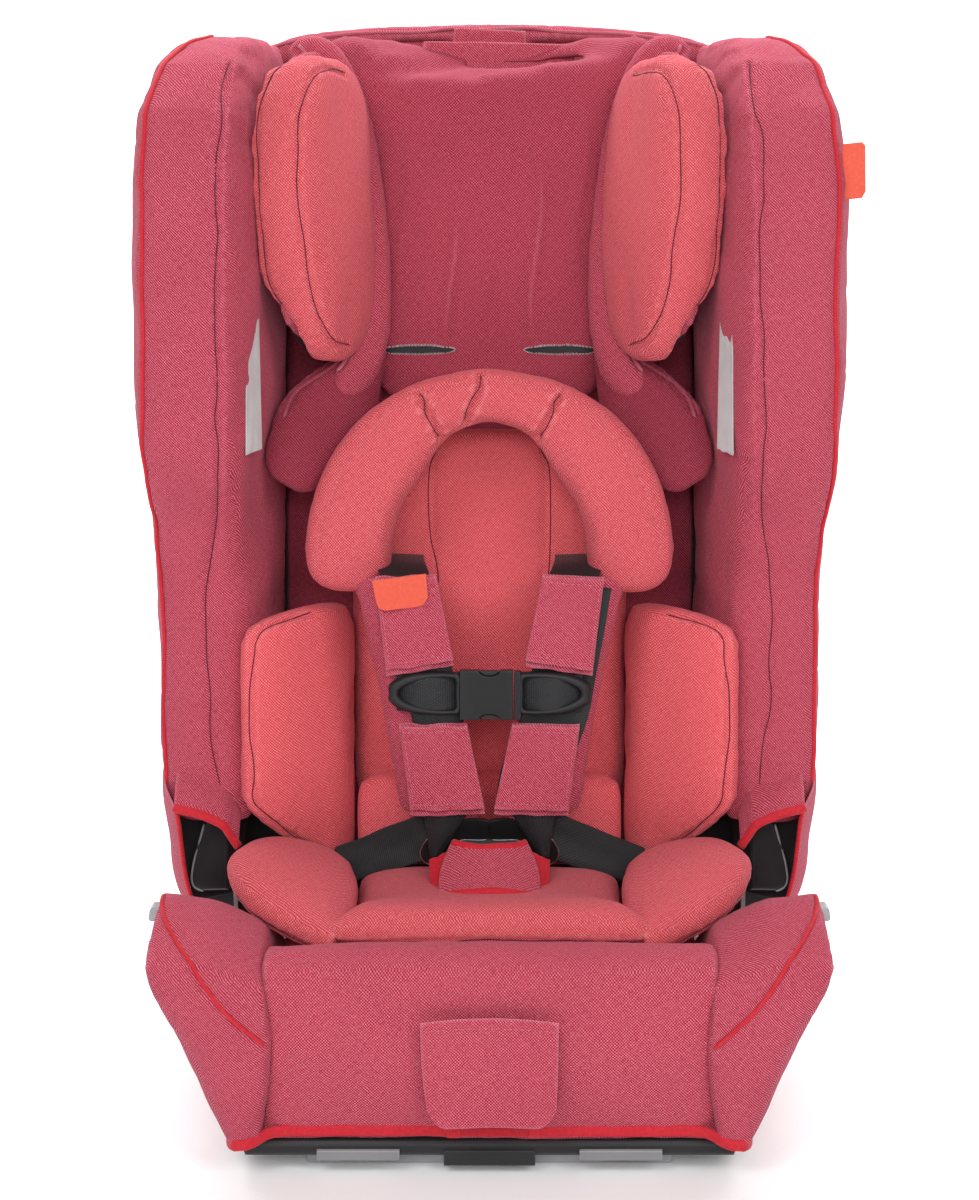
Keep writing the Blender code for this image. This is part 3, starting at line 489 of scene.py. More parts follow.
def curve_through(points, step=0.003, closed=False):
    """Evenly spaced points on a Catmull-Rom curve through given points."""
    anchors = [Vector(p) for p in points]
    if closed:
        anchors = [anchors[-1]] + anchors + anchors[:2]
    else:
        anchors = [2 * anchors[0] - anchors[1]] + anchors + [2 * anchors[-1] - anchors[-2]]
    dense = []
    for before, start, end, after in zip(anchors, anchors[1:], anchors[2:], anchors[3:]):
        count = max(2, ceil((end - start).length / step))
        for index in range(count):
            t = index / count
            dense.append(0.5 * (2 * start + (end - before) * t
                                + (2 * before - 5 * start + 4 * end - after) * t ** 2
                                + (3 * start - before - 3 * end + after) * t ** 3))
    dense.append(anchors[-2])
    return dense


def bridge(builder, first, second):
    """Faces between two closed rings with equal point counts."""
    for k in range(len(first)):
        after = (k + 1) % len(first)
        builder.faces.new((first[k], first[after], second[after], second[k]))


def skin(builder, rings):
    """Faces through a run of rings, capped at both ends."""
    for first, second in zip(rings, rings[1:]):
        bridge(builder, first, second)
    builder.faces.new(rings[0])
    builder.faces.new(rings[-1])


def loft(name, rings, material, body=None):
    """A closed piece through rings with equal point counts."""
    builder = bmesh.new()
    skin(builder, [[builder.verts.new(point) for point in ring] for ring in rings])
    return add_piece(name, builder, material, body)


def heading(path, index):
    """The direction of a path at one of its points."""
    return (path[min(index + 1, len(path) - 1)] - path[max(index - 1, 0)]).normalized()


def steady_frames(path, up=Vector((0, 0, 1))):
    """Side and out directions along a path, carried without twist."""
    frames = []
    side = None
    for index in range(len(path)):
        along = heading(path, index)
        if side is None:
            reference = up if abs(along.dot(up)) < 0.9 else Vector((1, 0, 0))
            side = along.cross(reference).normalized()
        side = (side - along * side.dot(along)).normalized()
        frames.append((side, side.cross(along)))
    return frames


def tube(name, path, radius, material, body, sides=8):
    """A round cord along a path, its ends closed to a blunt tip."""
    rings = []
    last = len(path) - 1
    for index, (here, (side, out)) in enumerate(zip(path, steady_frames(path))):
        size = radius * (0.55 if index in (0, last) else 1.0)
        rings.append([here + (side * cos(2 * pi * k / sides) + out * sin(2 * pi * k / sides)) * size
                      for k in range(sides)])
    return loft(name, rings, material, body)


def strip_section(width, thick, points=5):
    """Section of webbing or tape: flat faces and full, rounded edges. Pairs of (across, out)."""
    half, rise = width / 2, thick / 2
    face = [(-half + rise + (width - thick) * k / points, rise) for k in range(points + 1)]
    edge = [(half - rise + rise * sin(pi * k / 4), rise * cos(pi * k / 4)) for k in range(1, 4)]
    one_side = face + edge
    return one_side + [(-x, -y) for x, y in one_side]


def strap(name, path, across, width, thick, material, body, arch=0.0):
    """A flat band along a path. across gives its width direction; arch bows it out in the middle."""
    section = strip_section(width, thick)
    builder = bmesh.new()
    layers = {label: builder.verts.layers.float.new(label) for label in ("along", "across")}
    rings, travelled = [], 0.0
    for index, here in enumerate(path):
        ahead = heading(path, index)
        side = across[index] - ahead * across[index].dot(ahead)
        side.normalize()
        out = side.cross(ahead)
        travelled += (here - path[max(index - 1, 0)]).length
        ring = []
        for a, b in section:
            bow = arch * (1 - (2 * a / width) ** 2)
            vert = builder.verts.new(here + side * a + out * (b + bow))
            vert[layers["along"]] = travelled
            vert[layers["across"]] = a
            ring.append(vert)
        rings.append(ring)
    skin(builder, rings)
    return add_piece(name, builder, material, body)


# ---- cloth ----
def even_out(piece, voxel, relax=4):
    """An even, closed mesh over the starting shape."""
    remesh = piece.modifiers.new("even", "REMESH")
    remesh.mode = "VOXEL"
    remesh.voxel_size = voxel
    settle = piece.modifiers.new("relax", "SMOOTH")
    settle.factor = 0.5
    settle.iterations = relax
    apply_modifiers(piece)
    piece.data.shade_smooth()


def surface_of(piece):
    mesh = piece.data
    return BVHTree.FromPolygons([v.co for v in mesh.vertices], [tuple(p.vertices) for p in mesh.polygons])


def joined_surface(pieces):
    """One lookup surface over several pieces."""
    points, faces = [], []
    for piece in pieces:
        shift = len(points)
        points += [v.co for v in piece.data.vertices]
        faces += [tuple(index + shift for index in face.vertices) for face in piece.data.polygons]
    return BVHTree.FromPolygons(points, faces)


def eased(values, passes):
    """The values smoothed along their run, ends kept."""
    for _ in range(passes):
        inner = [(a + 2 * b + c) / 4 for a, b, c in zip(values, values[1:], values[2:])]
        values = [values[0]] + inner + [values[-1]]
    return values


def lay_on(tree, path, offset=0.0):
    """A path moved onto the surface and kept smooth along itself; also its normals."""
    moves = eased([tree.find_nearest(point)[0] - point for point in path], 30)
    laid = [point + move for point, move in zip(path, moves)]
    normals = [normal.normalized() for normal in eased([tree.find_nearest(point)[1] for point in laid], 8)]
    heights = [(tree.find_nearest(point)[0] - point).dot(normal) for point, normal in zip(laid, normals)]
    laid = [point + normal * (height + offset)
            for point, normal, height in zip(laid, normals, eased(heights, 2))]
    return laid, normals


def nearest_lookup(points):
    lookup = KDTree(len(points))
    for index, point in enumerate(points):
        lookup.insert(point, index)
    lookup.balance()
    return lookup


class Pad:
    """One padded piece: where it comes from, how far it swells, and the seams on it."""

    def __init__(self, name, material, body, nodes=(), space=BACK, voxel=VOXEL, cap=0.006, pressure=4.0,
                 fill=0.6, hold=None, seams=(), crumple=0.0006, relax=4, squash=None, folds=(),
                 joint="back_fold"):
        self.name, self.material, self.body = name, material, body
        self.nodes, self.space, self.voxel, self.cap = nodes, space, voxel, cap
        self.pressure, self.fill, self.hold = pressure, fill, hold
        self.seams, self.crumple, self.relax, self.squash = seams, crumple, relax, squash
        self.joint = joint
        self.folds = folds
        self.piece = None
        self.start = None

    def routes(self):
        """Each seam's kind with its given route in world space."""
        for kind, points in self.seams:
            yield kind, curve_through([self.space @ Vector(p) for p in points])


def begin(pad, piece):
    """Evens the starting shape and holds its seams and fixed sides."""
    pad.piece = piece
    even_out(piece, pad.voxel, pad.relax)
    mesh = piece.data
    pinned = set()
    tree = surface_of(piece)
    for kind, route in pad.routes():
        if kind == "stitch":
            continue
        laid, _ = lay_on(tree, route)
        lookup = nearest_lookup(laid)
        pinned |= {v.index for v in mesh.vertices if lookup.find(v.co)[2] < pad.voxel * 0.75}
    if pad.hold:
        inverse = pad.space.inverted()
        turn = inverse.to_3x3()
        pinned |= {v.index for v in mesh.vertices if pad.hold(inverse @ v.co, turn @ v.normal)}
    group = piece.vertex_groups.new(name="held")
    group.add(sorted(pinned), 1.0, "REPLACE")
    pad.start = [v.co.copy() for v in mesh.vertices]
    cloth = piece.modifiers.new("cover", "CLOTH")
    settings = cloth.settings
    for setting, value in COVER_CLOTH.items():
        setattr(settings, setting, value)
    settings.uniform_pressure_force = pad.pressure
    settings.effector_weights.gravity = 0
    cloth.collision_settings.use_collision = False


def swell(pads, frames=20):
    """Runs every cover's simulation together and keeps the result, capped."""
    scene = bpy.context.scene
    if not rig.quick():
        for number in range(1, frames + 1):
            scene.frame_set(number)
    graph = bpy.context.evaluated_depsgraph_get()
    for pad in pads:
        shown = pad.piece.evaluated_get(graph).data
        moved = [v.co.copy() for v in shown.vertices]
        pad.piece.modifiers.clear()
        for vert, start, end in zip(pad.piece.data.vertices, pad.start, moved):
            step = end - start
            if step.length > pad.cap:
                step *= pad.cap / step.length
            vert.co = start + step
    scene.frame_set(1)
    for pad in pads:
        settle = pad.piece.modifiers.new("settle", "SMOOTH")
        settle.factor = 0.4
        settle.iterations = 2
        finer = pad.piece.modifiers.new("finer", "SUBSURF")
        finer.levels = finer.render_levels = 1
        apply_modifiers(pad.piece)
        pad.piece.data.shade_smooth()


def press_seams(pad, width=0.0026, depth=0.0024, pucker=0.0007, reach=0.011):
    """Sinks the cover along its seams and gathers it into small puckers beside them."""
    mesh = pad.piece.data
    tree = surface_of(pad.piece)
    points, travelled, strength = [], [], []
    for number, (kind, route) in enumerate(pad.routes()):
        laid, _ = lay_on(tree, route)
        distance = number * 0.37
        for index, point in enumerate(laid):
            distance += (point - laid[max(index - 1, 0)]).length
            points.append(point)
            travelled.append(distance)
            strength.append({"stitch": 0.35, "piping": 0.4, "fold": 2.4}.get(kind, 1.0))
    if not points:
        return
    lookup = nearest_lookup(points)
    normals = [v.normal.copy() for v in mesh.vertices]
    for vert, normal in zip(mesh.vertices, normals):
        _, index, away = lookup.find(vert.co)
        if away > 3 * reach:
            continue
        s, power = travelled[index], strength[index]
        groove = -depth * exp(-(away / width) ** 2)
        wave = sin(2 * pi * s / 0.0135 + 2.2 * noise.noise(Vector((s * 60, 0, 0))))
        wave += 0.6 * sin(2 * pi * s / 0.0083 + 1.0)
        uneven = 0.5 + 0.5 * noise.noise(Vector((s * 22, 3.1, 0)))
        ripple = pucker * wave * uneven * exp(-away / reach) * (1 - exp(-(away / width) ** 2))
        vert.co += normal * (groove + ripple) * power


def crumple(pad):
    """Soft unevenness of the cloth over its filling."""
    mesh = pad.piece.data
    normals = [v.normal.copy() for v in mesh.vertices]
    shift = Vector((len(pad.name) * 0.71, ord(pad.name[-1]) * 0.13, 0.0))
    for vert, normal in zip(mesh.vertices, normals):
        here = vert.co
        broad = noise.noise(here * 16 + shift)
        fold = noise.noise(Vector((here.x * 55, here.y * 38, here.z * 26)) + shift)
        crease = 1 - abs(noise.noise(here * 30 + shift * 2)) * 2
        lift = broad * 1.1 + fold * 0.55 - max(0.0, crease - 0.72) * 1.2
        vert.co += normal * pad.crumple * lift
    inverse = pad.space.inverted()
    for vert, normal in zip(mesh.vertices, normals):
        here = inverse @ vert.co
        for (x, z), length, height in pad.folds:
            side_way = (here.x - x - 0.004 * sin((here.z - z) * 40)) / 0.0045
            up_down = (here.z - z) / (length / 2)
            vert.co += normal * height * exp(-side_way ** 2 - up_down ** 4)


def stitches(name, path, normals, material, body, length=0.0026, gap=0.0014, radius=0.00035):
    """A row of short raised threads along a path on a surface."""
    builder = bmesh.new()
    distance, target, start = 0.0, 0.0, None
    for index in range(1, len(path)):
        step = (path[index] - path[index - 1]).length
        while distance + step >= target:
            share = (target - distance) / step if step else 0
            point = path[index - 1].lerp(path[index], share) + normals[index] * radius * 0.8
            if start is None:
                start, target = point, target + length
            else:
                add_thread(builder, start, point, normals[index], radius)
                start, target = None, target + gap
        distance += step
    return add_piece(name, builder, material, body)


def add_thread(builder, start, end, normal, radius):
    """One stitch: a low arched bead from start to end."""
    along = (end - start).normalized()
    side = along.cross(normal).normalized()
    rings = []
    for share, size in ((0, 0.45), (0.25, 1.0), (0.75, 1.0), (1, 0.45)):
        centre = start.lerp(end, share) - normal * radius * (1 - size)
        ways = [side * cos(k * pi / 3) + normal * sin(k * pi / 3) for k in range(6)]
        rings.append([builder.verts.new(centre + way * radius * size) for way in ways])
    skin(builder, rings)


def dress(pad):
    """Seam threads, piping and stitches on the finished surface."""
    tree = surface_of(pad.piece)
    for number, (kind, route) in enumerate(pad.routes()):
        label = f"{pad.name}_{kind}_{number}"
        if kind in ("seam", "fold"):
            path, normals = lay_on(tree, route, THREAD * 0.3)
            extra = tube(label, path, THREAD, SEAM_THREAD, pad.body, 6)
        elif kind == "piping":
            path, normals = lay_on(tree, route, PIPING * 0.55)
            extra = tube(label, path, PIPING, SCARLET, pad.body, 10)
        elif kind == "own_piping":
            path, normals = lay_on(tree, route, PIPING * 0.5)
            extra = tube(label, path, PIPING * 0.95, pad.material, pad.body, 10)
        elif kind == "stitch":
            path, normals = lay_on(tree, route)
            extra = stitches(label, path, normals, PINK_THREAD, pad.body)
        else:
            continue
        if pad.squash:
            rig.squash(extra, pad.joint, *pad.squash)


def complete(pads):
    """The whole pass from swollen cloth to dressed pieces."""
    swell(pads)
    for pad in pads:
        press_seams(pad)
        crumple(pad)
        mesh = pad.piece.data
        mesh.materials.clear()
        mesh.materials.append(pad.material)
        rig.slot(pad.piece, SLOT_OF[pad.material])
        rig.ride(pad.piece, pad.body)
        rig.replaces(pad.piece, *pad.nodes)
        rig.padded(pad.piece, fill=pad.fill)
        if pad.squash:
            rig.squash(pad.piece, pad.joint, *pad.squash)
        dress(pad)


def copy_of(node, name, material):
    """A new object that starts as a CAD node's shape."""
    mesh = frame["nodes"][node].data.copy()
    mesh.materials.clear()
    piece = bpy.data.objects.new(name, mesh)
    collection.objects.link(piece)
    mesh.materials.append(material)
    return piece


def mirrored(points, sign):
    return [(sign * x, y, z) for x, y, z in points]


def oval_ring(centre, first, half_first, second, half_second, power=2.0, count=20):
    """A ring of points around a centre: an ellipse at power 2, squarer above it."""
    ring = []
    for k in range(count):
        c, s = cos(2 * pi * k / count), sin(2 * pi * k / count)
        a = abs(c) ** (2 / power) * (1 if c > 0 else -1)
        b = abs(s) ** (2 / power) * (1 if s > 0 else -1)
        ring.append(centre + first * half_first * a + second * half_second * b)
    return ring


def fullness(index, count, steps=(0.45, 0.78, 0.94)):
    """Share of the full size near either end of a run of rings."""
    from_end = min(index, count - 1 - index)
    return steps[from_end] if from_end < len(steps) else 1.0


# ---- padded pieces of the back ----
def reshape(piece, change):
    """Moves every vertex. change edits its place in the back's own frame."""
    inverse = BACK.inverted()
    for vert in piece.data.vertices:
        here = inverse @ vert.co
        change(here)
        vert.co = BACK @ here


def rear_side(limit=0.6):
    """Holds the faces that lie on the shell behind."""
    return lambda place, normal: normal.y > limit


def low_spread(z):
    """How far the bolster's outer side stands out near its lower end."""
    return min(max((0.20 - z) * 0.065, 0), 0.010)


def bolster_pad(side, sign):
    outer = [(0.230, -0.036, 0.020), (0.236, -0.038, 0.060), (0.239, -0.038, 0.120), (0.243, -0.040, 0.175),
             (0.247, -0.058, 0.212), (0.250, -0.084, 0.242), (0.252, -0.098, 0.268), (0.253, -0.104, 0.320),
             (0.253, -0.104, 0.450), (0.249, -0.092, 0.500), (0.238, -0.068, 0.536), (0.222, -0.042, 0.554),
             (0.206, -0.020, 0.560)]
    outer = [(x - 0.004 + low_spread(z), y - 0.004, z) if z < 0.3 else (x - 0.009, y - 0.009, z)
             for x, y, z in outer]
    inner = [(0.194, -0.049, 0.010), (0.200, -0.052, 0.060), (0.203, -0.052, 0.120), (0.202, -0.053, 0.170),
             (0.194, -0.068, 0.212), (0.189, -0.108, 0.262), (0.187, -0.117, 0.320), (0.186, -0.117, 0.450),
             (0.183, -0.106, 0.500), (0.180, -0.080, 0.536)]
    seams = [("piping", mirrored(outer, sign)), ("seam", mirrored(inner, sign))]
    pad = Pad(f"bolster_cover_{side}", CRIMSON, "back", [f"bolster_{side}"], cap=0.005, hold=rear_side(),
              seams=seams, crumple=0.0020, fill=0.7)

    def fill_out(here):
        here.x += sign * low_spread(here.z) * min(max((abs(here.x) - 0.200) / 0.030, 0), 1)
        here.z -= max(0.0, 0.10 - here.z) * 0.27

    piece = copy_of(f"bolster_{side}", pad.name, CRIMSON)
    reshape(piece, fill_out)
    begin(pad, piece)
    return pad


def back_cover_pad():
    # painted shade: the back cushion takes the darker crimson copy that stands in for its shadow
    pad = Pad("back_cushion", CRIMSON_SHADE_PAINTED, "back", ["back_cover"], cap=0.003, hold=rear_side(), fill=0.5)
    piece = copy_of("back_cover", pad.name, CRIMSON_SHADE_PAINTED)
    for vert in piece.data.vertices:
        vert.co.x *= 1 + 0.05 * (vert.co.x / 0.148) ** 4
    begin(pad, piece)
    return pad


def top_rim_pad():
    edge = [(-0.164, 0.058, 0.556), (-0.150, 0.055, 0.564), (-0.080, 0.053, 0.5740), (0, 0.053, 0.5750)]
    edge += mirrored(edge[-2::-1], -1)
    pad = Pad("rim_cushion", CRIMSON, "back", ["top_rim"], voxel=0.004, cap=0.003, relax=2,
              seams=[("own_piping", edge)])
    begin(pad, copy_of("top_rim", pad.name, CRIMSON))
    return pad


# ---- head support ----
WING_START = Vector((0.1020, 0.0345))
WING_ALONG = (Vector((0.1640, -0.0860)) - WING_START).normalized()
WING_IN = Vector((WING_ALONG.y, -WING_ALONG.x))


def on_wing(sign, u, depth, z):
    """A point by its place along the wing, its depth inwards from the shell, and its height."""
    plan = WING_START + WING_ALONG * u + WING_IN * depth
    return Vector((sign * plan.x, plan.y, z))


def head_panel_pad():
    """Centre panel of the head support, with a dip in the middle of its top edge."""
    half = [(0.060, 0.297), (0.076, 0.302), (0.086, 0.320), (0.090, 0.400), (0.096, 0.470), (0.108, 0.520),
            (0.118, 0.546), (0.112, 0.560), (0.080, 0.5625), (0.052, 0.5570), (0.026, 0.5500)]
    outline = half + [(0.0, 0.5475)] + [(-x, z) for x, z in half[::-1]]
    outline = rounded_outline(outline, 0.006)
    rings = []
    for depth, shrink in ((0.0335, 0.004), (0.0300, 0), (0.0190, 0), (0.0150, 0.004), (0.0140, 0.010)):
        rings.append([BACK @ Vector((x * (1 - shrink / 0.1), depth - max(0.0, abs(x) - 0.080) * 0.9,
                                     z + (0.425 - z) * shrink / 0.128)) for x, z in outline])
    # painted shade: the head panel takes the darker crimson copy that stands in for its shade
    pad = Pad("head_panel", CRIMSON_HEAD_SHADE_PAINTED, "headrest", ["headrest_cover"], cap=0.0035, hold=rear_side(),
              crumple=0.0012, folds=[((-0.028, 0.385), 0.110, 0.0030), ((0.034, 0.405), 0.150, 0.0032),
                                     ((0.004, 0.37), 0.070, -0.0022), ((-0.062, 0.43), 0.120, 0.0020),
                                     ((0.066, 0.45), 0.120, 0.0020)])
    begin(pad, loft("head_panel", rings, CRIMSON_HEAD_SHADE_PAINTED))
    return pad


def wing_pad(side):
    pad = Pad(f"wing_cover_{side}", CRIMSON, "headrest", [f"headrest_wing_{side}"], voxel=0.004, cap=0.002,
              relax=2, crumple=0.0005)

    def shorten(here):
        here.z += max(0.0, 0.345 - here.z) * 0.75 - max(0.0, here.z - 0.54) * 0.3

    piece = copy_of(f"headrest_wing_{side}", pad.name, CRIMSON)
    reshape(piece, shorten)
    begin(pad, piece)
    return pad


def head_cushion_pad(side, sign):
    """Long oval cushion on the wing's inner face; its gusset wraps round the wing's front edge."""
    # height, start and end along the wing, fullness
    stations = [(0.3250, 0.058, 0.092, 0.45), (0.3330, 0.042, 0.104, 0.72), (0.3500, 0.032, 0.116, 0.92),
                (0.3800, 0.028, 0.128, 1.0), (0.4300, 0.026, 0.141, 1.0), (0.4800, 0.028, 0.142, 1.0),
                (0.5100, 0.034, 0.137, 0.96), (0.5300, 0.044, 0.126, 0.80), (0.5400, 0.058, 0.110, 0.55)]
    section = [(0.00, 0.0), (0.80, 0.0), (0.86, -0.3), (0.88, -0.78), (0.94, -0.82), (1.0, -0.35),
               (1.0, 0.35), (0.93, 0.80), (0.78, 1.0), (0.35, 1.0), (0.08, 0.85), (-0.02, 0.45)]
    rings = []
    for z, start, end, full in stations:
        ring = []
        for share, rise in section:
            wrapped = rise < 0 and end < 0.118
            depth = 0.0180 + (max(rise, 0.0) if wrapped else rise) * 0.0270 * full
            ring.append(BACK @ on_wing(sign, start + (end - start) * share, depth, z))
        rings.append(ring)
    front = [(0.100, 0.012, 0.330), (0.114, 0.010, 0.350), (0.130, 0.004, 0.385), (0.141, 0.002, 0.430),
             (0.142, 0.002, 0.480), (0.136, 0.004, 0.512), (0.124, 0.010, 0.532), (0.100, 0.016, 0.541)]
    inner = [(0.072, 0.047, 0.333), (0.095, 0.043, 0.338), (0.110, 0.041, 0.352), (0.124, 0.039, 0.382),
             (0.136, 0.037, 0.430), (0.137, 0.037, 0.480), (0.130, 0.038, 0.508), (0.117, 0.041, 0.527),
             (0.098, 0.046, 0.534), (0.076, 0.048, 0.532)]
    seams = [("seam", [on_wing(sign, *p) for p in route]) for route in (front, inner)]
    name = f"head_cushion_{side}"
    pad = Pad(name, CORAL, "headrest", [f"headrest_cushion_{side}"], voxel=0.0045, cap=0.005, seams=seams,
              fill=0.8, crumple=0.0006)
    begin(pad, loft(name, rings, CORAL))
    return pad


def head_roll_pad(side, sign):
    """Padded roll between the centre panel and the cushion, from the wing's top down to its lower lobe."""
    route = [(0.143, -0.034, 0.540), (0.124, -0.028, 0.543), (0.108, -0.020, 0.522), (0.097, -0.014, 0.486),
             (0.090, -0.010, 0.440), (0.0865, -0.008, 0.395), (0.087, -0.007, 0.355), (0.093, -0.009, 0.325),
             (0.108, -0.014, 0.300)]
    path = curve_through([BACK @ Vector((sign * x, y, z)) for x, y, z in route], 0.008)
    toward = BACK.to_3x3() @ Vector((-sign * 0.35, -0.93, 0))
    rings = []
    for index, here in enumerate(path):
        along = heading(path, index)
        side_way = along.cross(toward).normalized()
        full = fullness(index, len(path))
        rings.append(oval_ring(here, side_way, 0.0165 * full, side_way.cross(along), 0.0105 * full, 2.2))
    lip = [(0.144, -0.060, 0.551), (0.1215, -0.056, 0.531), (0.1080, -0.048, 0.498), (0.1000, -0.040, 0.460),
           (0.0935, -0.036, 0.424), (0.0925, -0.032, 0.388), (0.0955, -0.030, 0.362), (0.103, -0.028, 0.342),
           (0.118, -0.027, 0.326)]
    name = f"head_roll_{side}"
    pad = Pad(name, CRIMSON, "headrest", cap=0.003, voxel=0.004, relax=2, crumple=0.0007,
              seams=[("own_piping", mirrored(lip, sign))])
    begin(pad, loft(name, rings, CRIMSON))
    return pad


def head_lobe_pad(side, sign):
    """Soft leaf-shaped lower lobe of the wing, which turns forward and outwards below the cushion."""
    # x, y, z of its middle line, half width
    stations = [(0.082, -0.003, 0.345, 0.010), (0.100, -0.006, 0.312, 0.026), (0.119, -0.013, 0.284, 0.035),
                (0.132, -0.025, 0.261, 0.032), (0.142, -0.034, 0.245, 0.024), (0.146, -0.038, 0.236, 0.013)]
    path = curve_through([(x, z, wide) for x, y, z, wide in stations], 0.007)
    depths = curve_through([(x, y, 0) for x, y, z, wide in stations], 0.007)
    rings = []
    across = Vector((sign * 0.85, -0.25, 0.526)).normalized()
    depth_way = Vector((sign * 0.4, 0.9, 0)).normalized()
    turn = BACK.to_3x3()
    for index, here in enumerate(path):
        y = min(depths, key=lambda point: abs(point.x - here.x)).y
        centre = BACK @ Vector((sign * here.x, y, here.y))
        full = fullness(index, len(path), (0.6, 0.85))
        rings.append(oval_ring(centre, turn @ across, here.z, turn @ depth_way, 0.0095 * full, 2.2, 24))
    edge = [(0.098, -0.022, 0.342), (0.121, -0.026, 0.327), (0.139, -0.035, 0.310), (0.150, -0.043, 0.294)]
    name = f"head_lobe_{side}"
    # painted shade: the lobe takes the darker crimson copy that stands in for the shadow under the cushion
    pad = Pad(name, CRIMSON_SHADE_PAINTED, "headrest", cap=0.003, voxel=0.004, relax=2, crumple=0.0012,
              seams=[("own_piping", mirrored(edge, sign))], joint="headrest_slide",
              squash=((1, 0, 0), (sign * 0.095, 0, 0.28), 0.80))
    begin(pad, loft(name, rings, CRIMSON_SHADE_PAINTED))
    return pad


# ---- infant insert ----
INSERT_WALL = BACK @ Vector((0, 0.038, 0.05))     # where the insert is flattened to as the back folds


def insert_back_pad():
    seams = [("stitch", [(-0.036, 0.006, 0.158), (0, 0.006, 0.158), (0.036, 0.006, 0.158)]),
             ("seam", [(-0.041, 0.004, 0.262), (-0.042, 0.004, 0.220), (-0.040, 0.004, 0.165)]),
             ("seam", [(0.041, 0.004, 0.262), (0.042, 0.004, 0.220), (0.040, 0.004, 0.165)])]
    # painted light: the insert back takes the lighter coral copy that makes up for its shadow
    pad = Pad("insert_back_cushion", CORAL_LIGHT_PAINTED, "back", ["insert_back_pad"], cap=0.005, seams=seams,
              hold=rear_side(), fill=0.5, squash=(BACK_REAR, INSERT_WALL, 0.4))

    def fill_middle(here):
        middle = max(0.0, 1 - (here.x / 0.085) ** 2) * max(0.0, 1 - ((here.z - 0.13) / 0.15) ** 2)
        here.y -= 0.026 * middle * max(0.0, 0.030 - here.y) / 0.018

    piece = copy_of("insert_back_pad", pad.name, CORAL_LIGHT_PAINTED)
    reshape(piece, fill_middle)
    begin(pad, piece)
    return pad


def insert_lumbar_pad():
    """Fuller lower end of the insert's back, between the side pads."""
    # across, height of its middle, half height, half depth
    stations = [(0.098, -0.012, 0.024, 0.008), (0.093, -0.012, 0.031, 0.014), (0.080, -0.012, 0.035, 0.018),
                (0.045, -0.012, 0.036, 0.020), (0.0, -0.012, 0.036, 0.020)]
    stations = stations + [(-x, z, tall, deep) for x, z, tall, deep in stations[-2::-1]]
    rings = []
    for x, z, tall, deep in stations:
        centre = BACK @ Vector((x, 0.000, z))
        rings.append(oval_ring(centre, BACK_UP, tall, BACK_REAR, deep, 2.5, 24))
    # painted light: the lumbar pad takes the lighter coral copy that makes up for its shadow
    pad = Pad("insert_lumbar_cushion", CORAL_LIGHT_PAINTED, "back", cap=0.004, fill=0.7,
              squash=(BACK_REAR, INSERT_WALL, 0.5))
    begin(pad, loft("insert_lumbar_cushion", rings, CORAL_LIGHT_PAINTED))
    return pad


def insert_side_pad(side, sign):
    """Side pad: one broad face slants from the back pad out over the bolster's edge."""
    # centre x and y, half thickness, lowest and highest point
    stations = [(0.1055, 0.016, 0.0110, -0.044, 0.142), (0.1110, 0.006, 0.0145, -0.050, 0.150),
                (0.1240, -0.010, 0.0165, -0.043, 0.150), (0.1400, -0.026, 0.0170, -0.030, 0.147),
                (0.1560, -0.041, 0.0160, -0.016, 0.143), (0.1690, -0.052, 0.0130, -0.003, 0.138),
                (0.1765, -0.057, 0.0085, 0.006, 0.130)]
    out = (BACK.to_3x3() @ Vector((-sign * 0.70, -0.71, 0))).normalized()
    rings = []
    for x, y, half, low, high in stations:
        centre = BACK @ Vector((sign * x, y, (low + high) / 2))
        rings.append(oval_ring(centre, BACK_UP, (high - low) / 2, out, half, 4.5, 28))
    edge = [(0.128, -0.036, 0.150), (0.160, -0.062, 0.144), (0.172, -0.070, 0.128), (0.175, -0.072, 0.095),
            (0.175, -0.072, 0.050), (0.172, -0.070, 0.012), (0.158, -0.060, -0.012), (0.130, -0.040, -0.037)]
    name = f"insert_side_cushion_{side}"
    # painted light: the side pad takes the lighter coral copy that makes up for its shadow
    pad = Pad(name, CORAL_LIGHT_PAINTED, "back", [f"insert_side_{side}"], cap=0.004, fill=0.8,
              seams=[("seam", mirrored(edge, sign))], squash=(BACK_REAR, INSERT_WALL, 0.55))
    begin(pad, loft(name, rings, CORAL_LIGHT_PAINTED))
    return pad


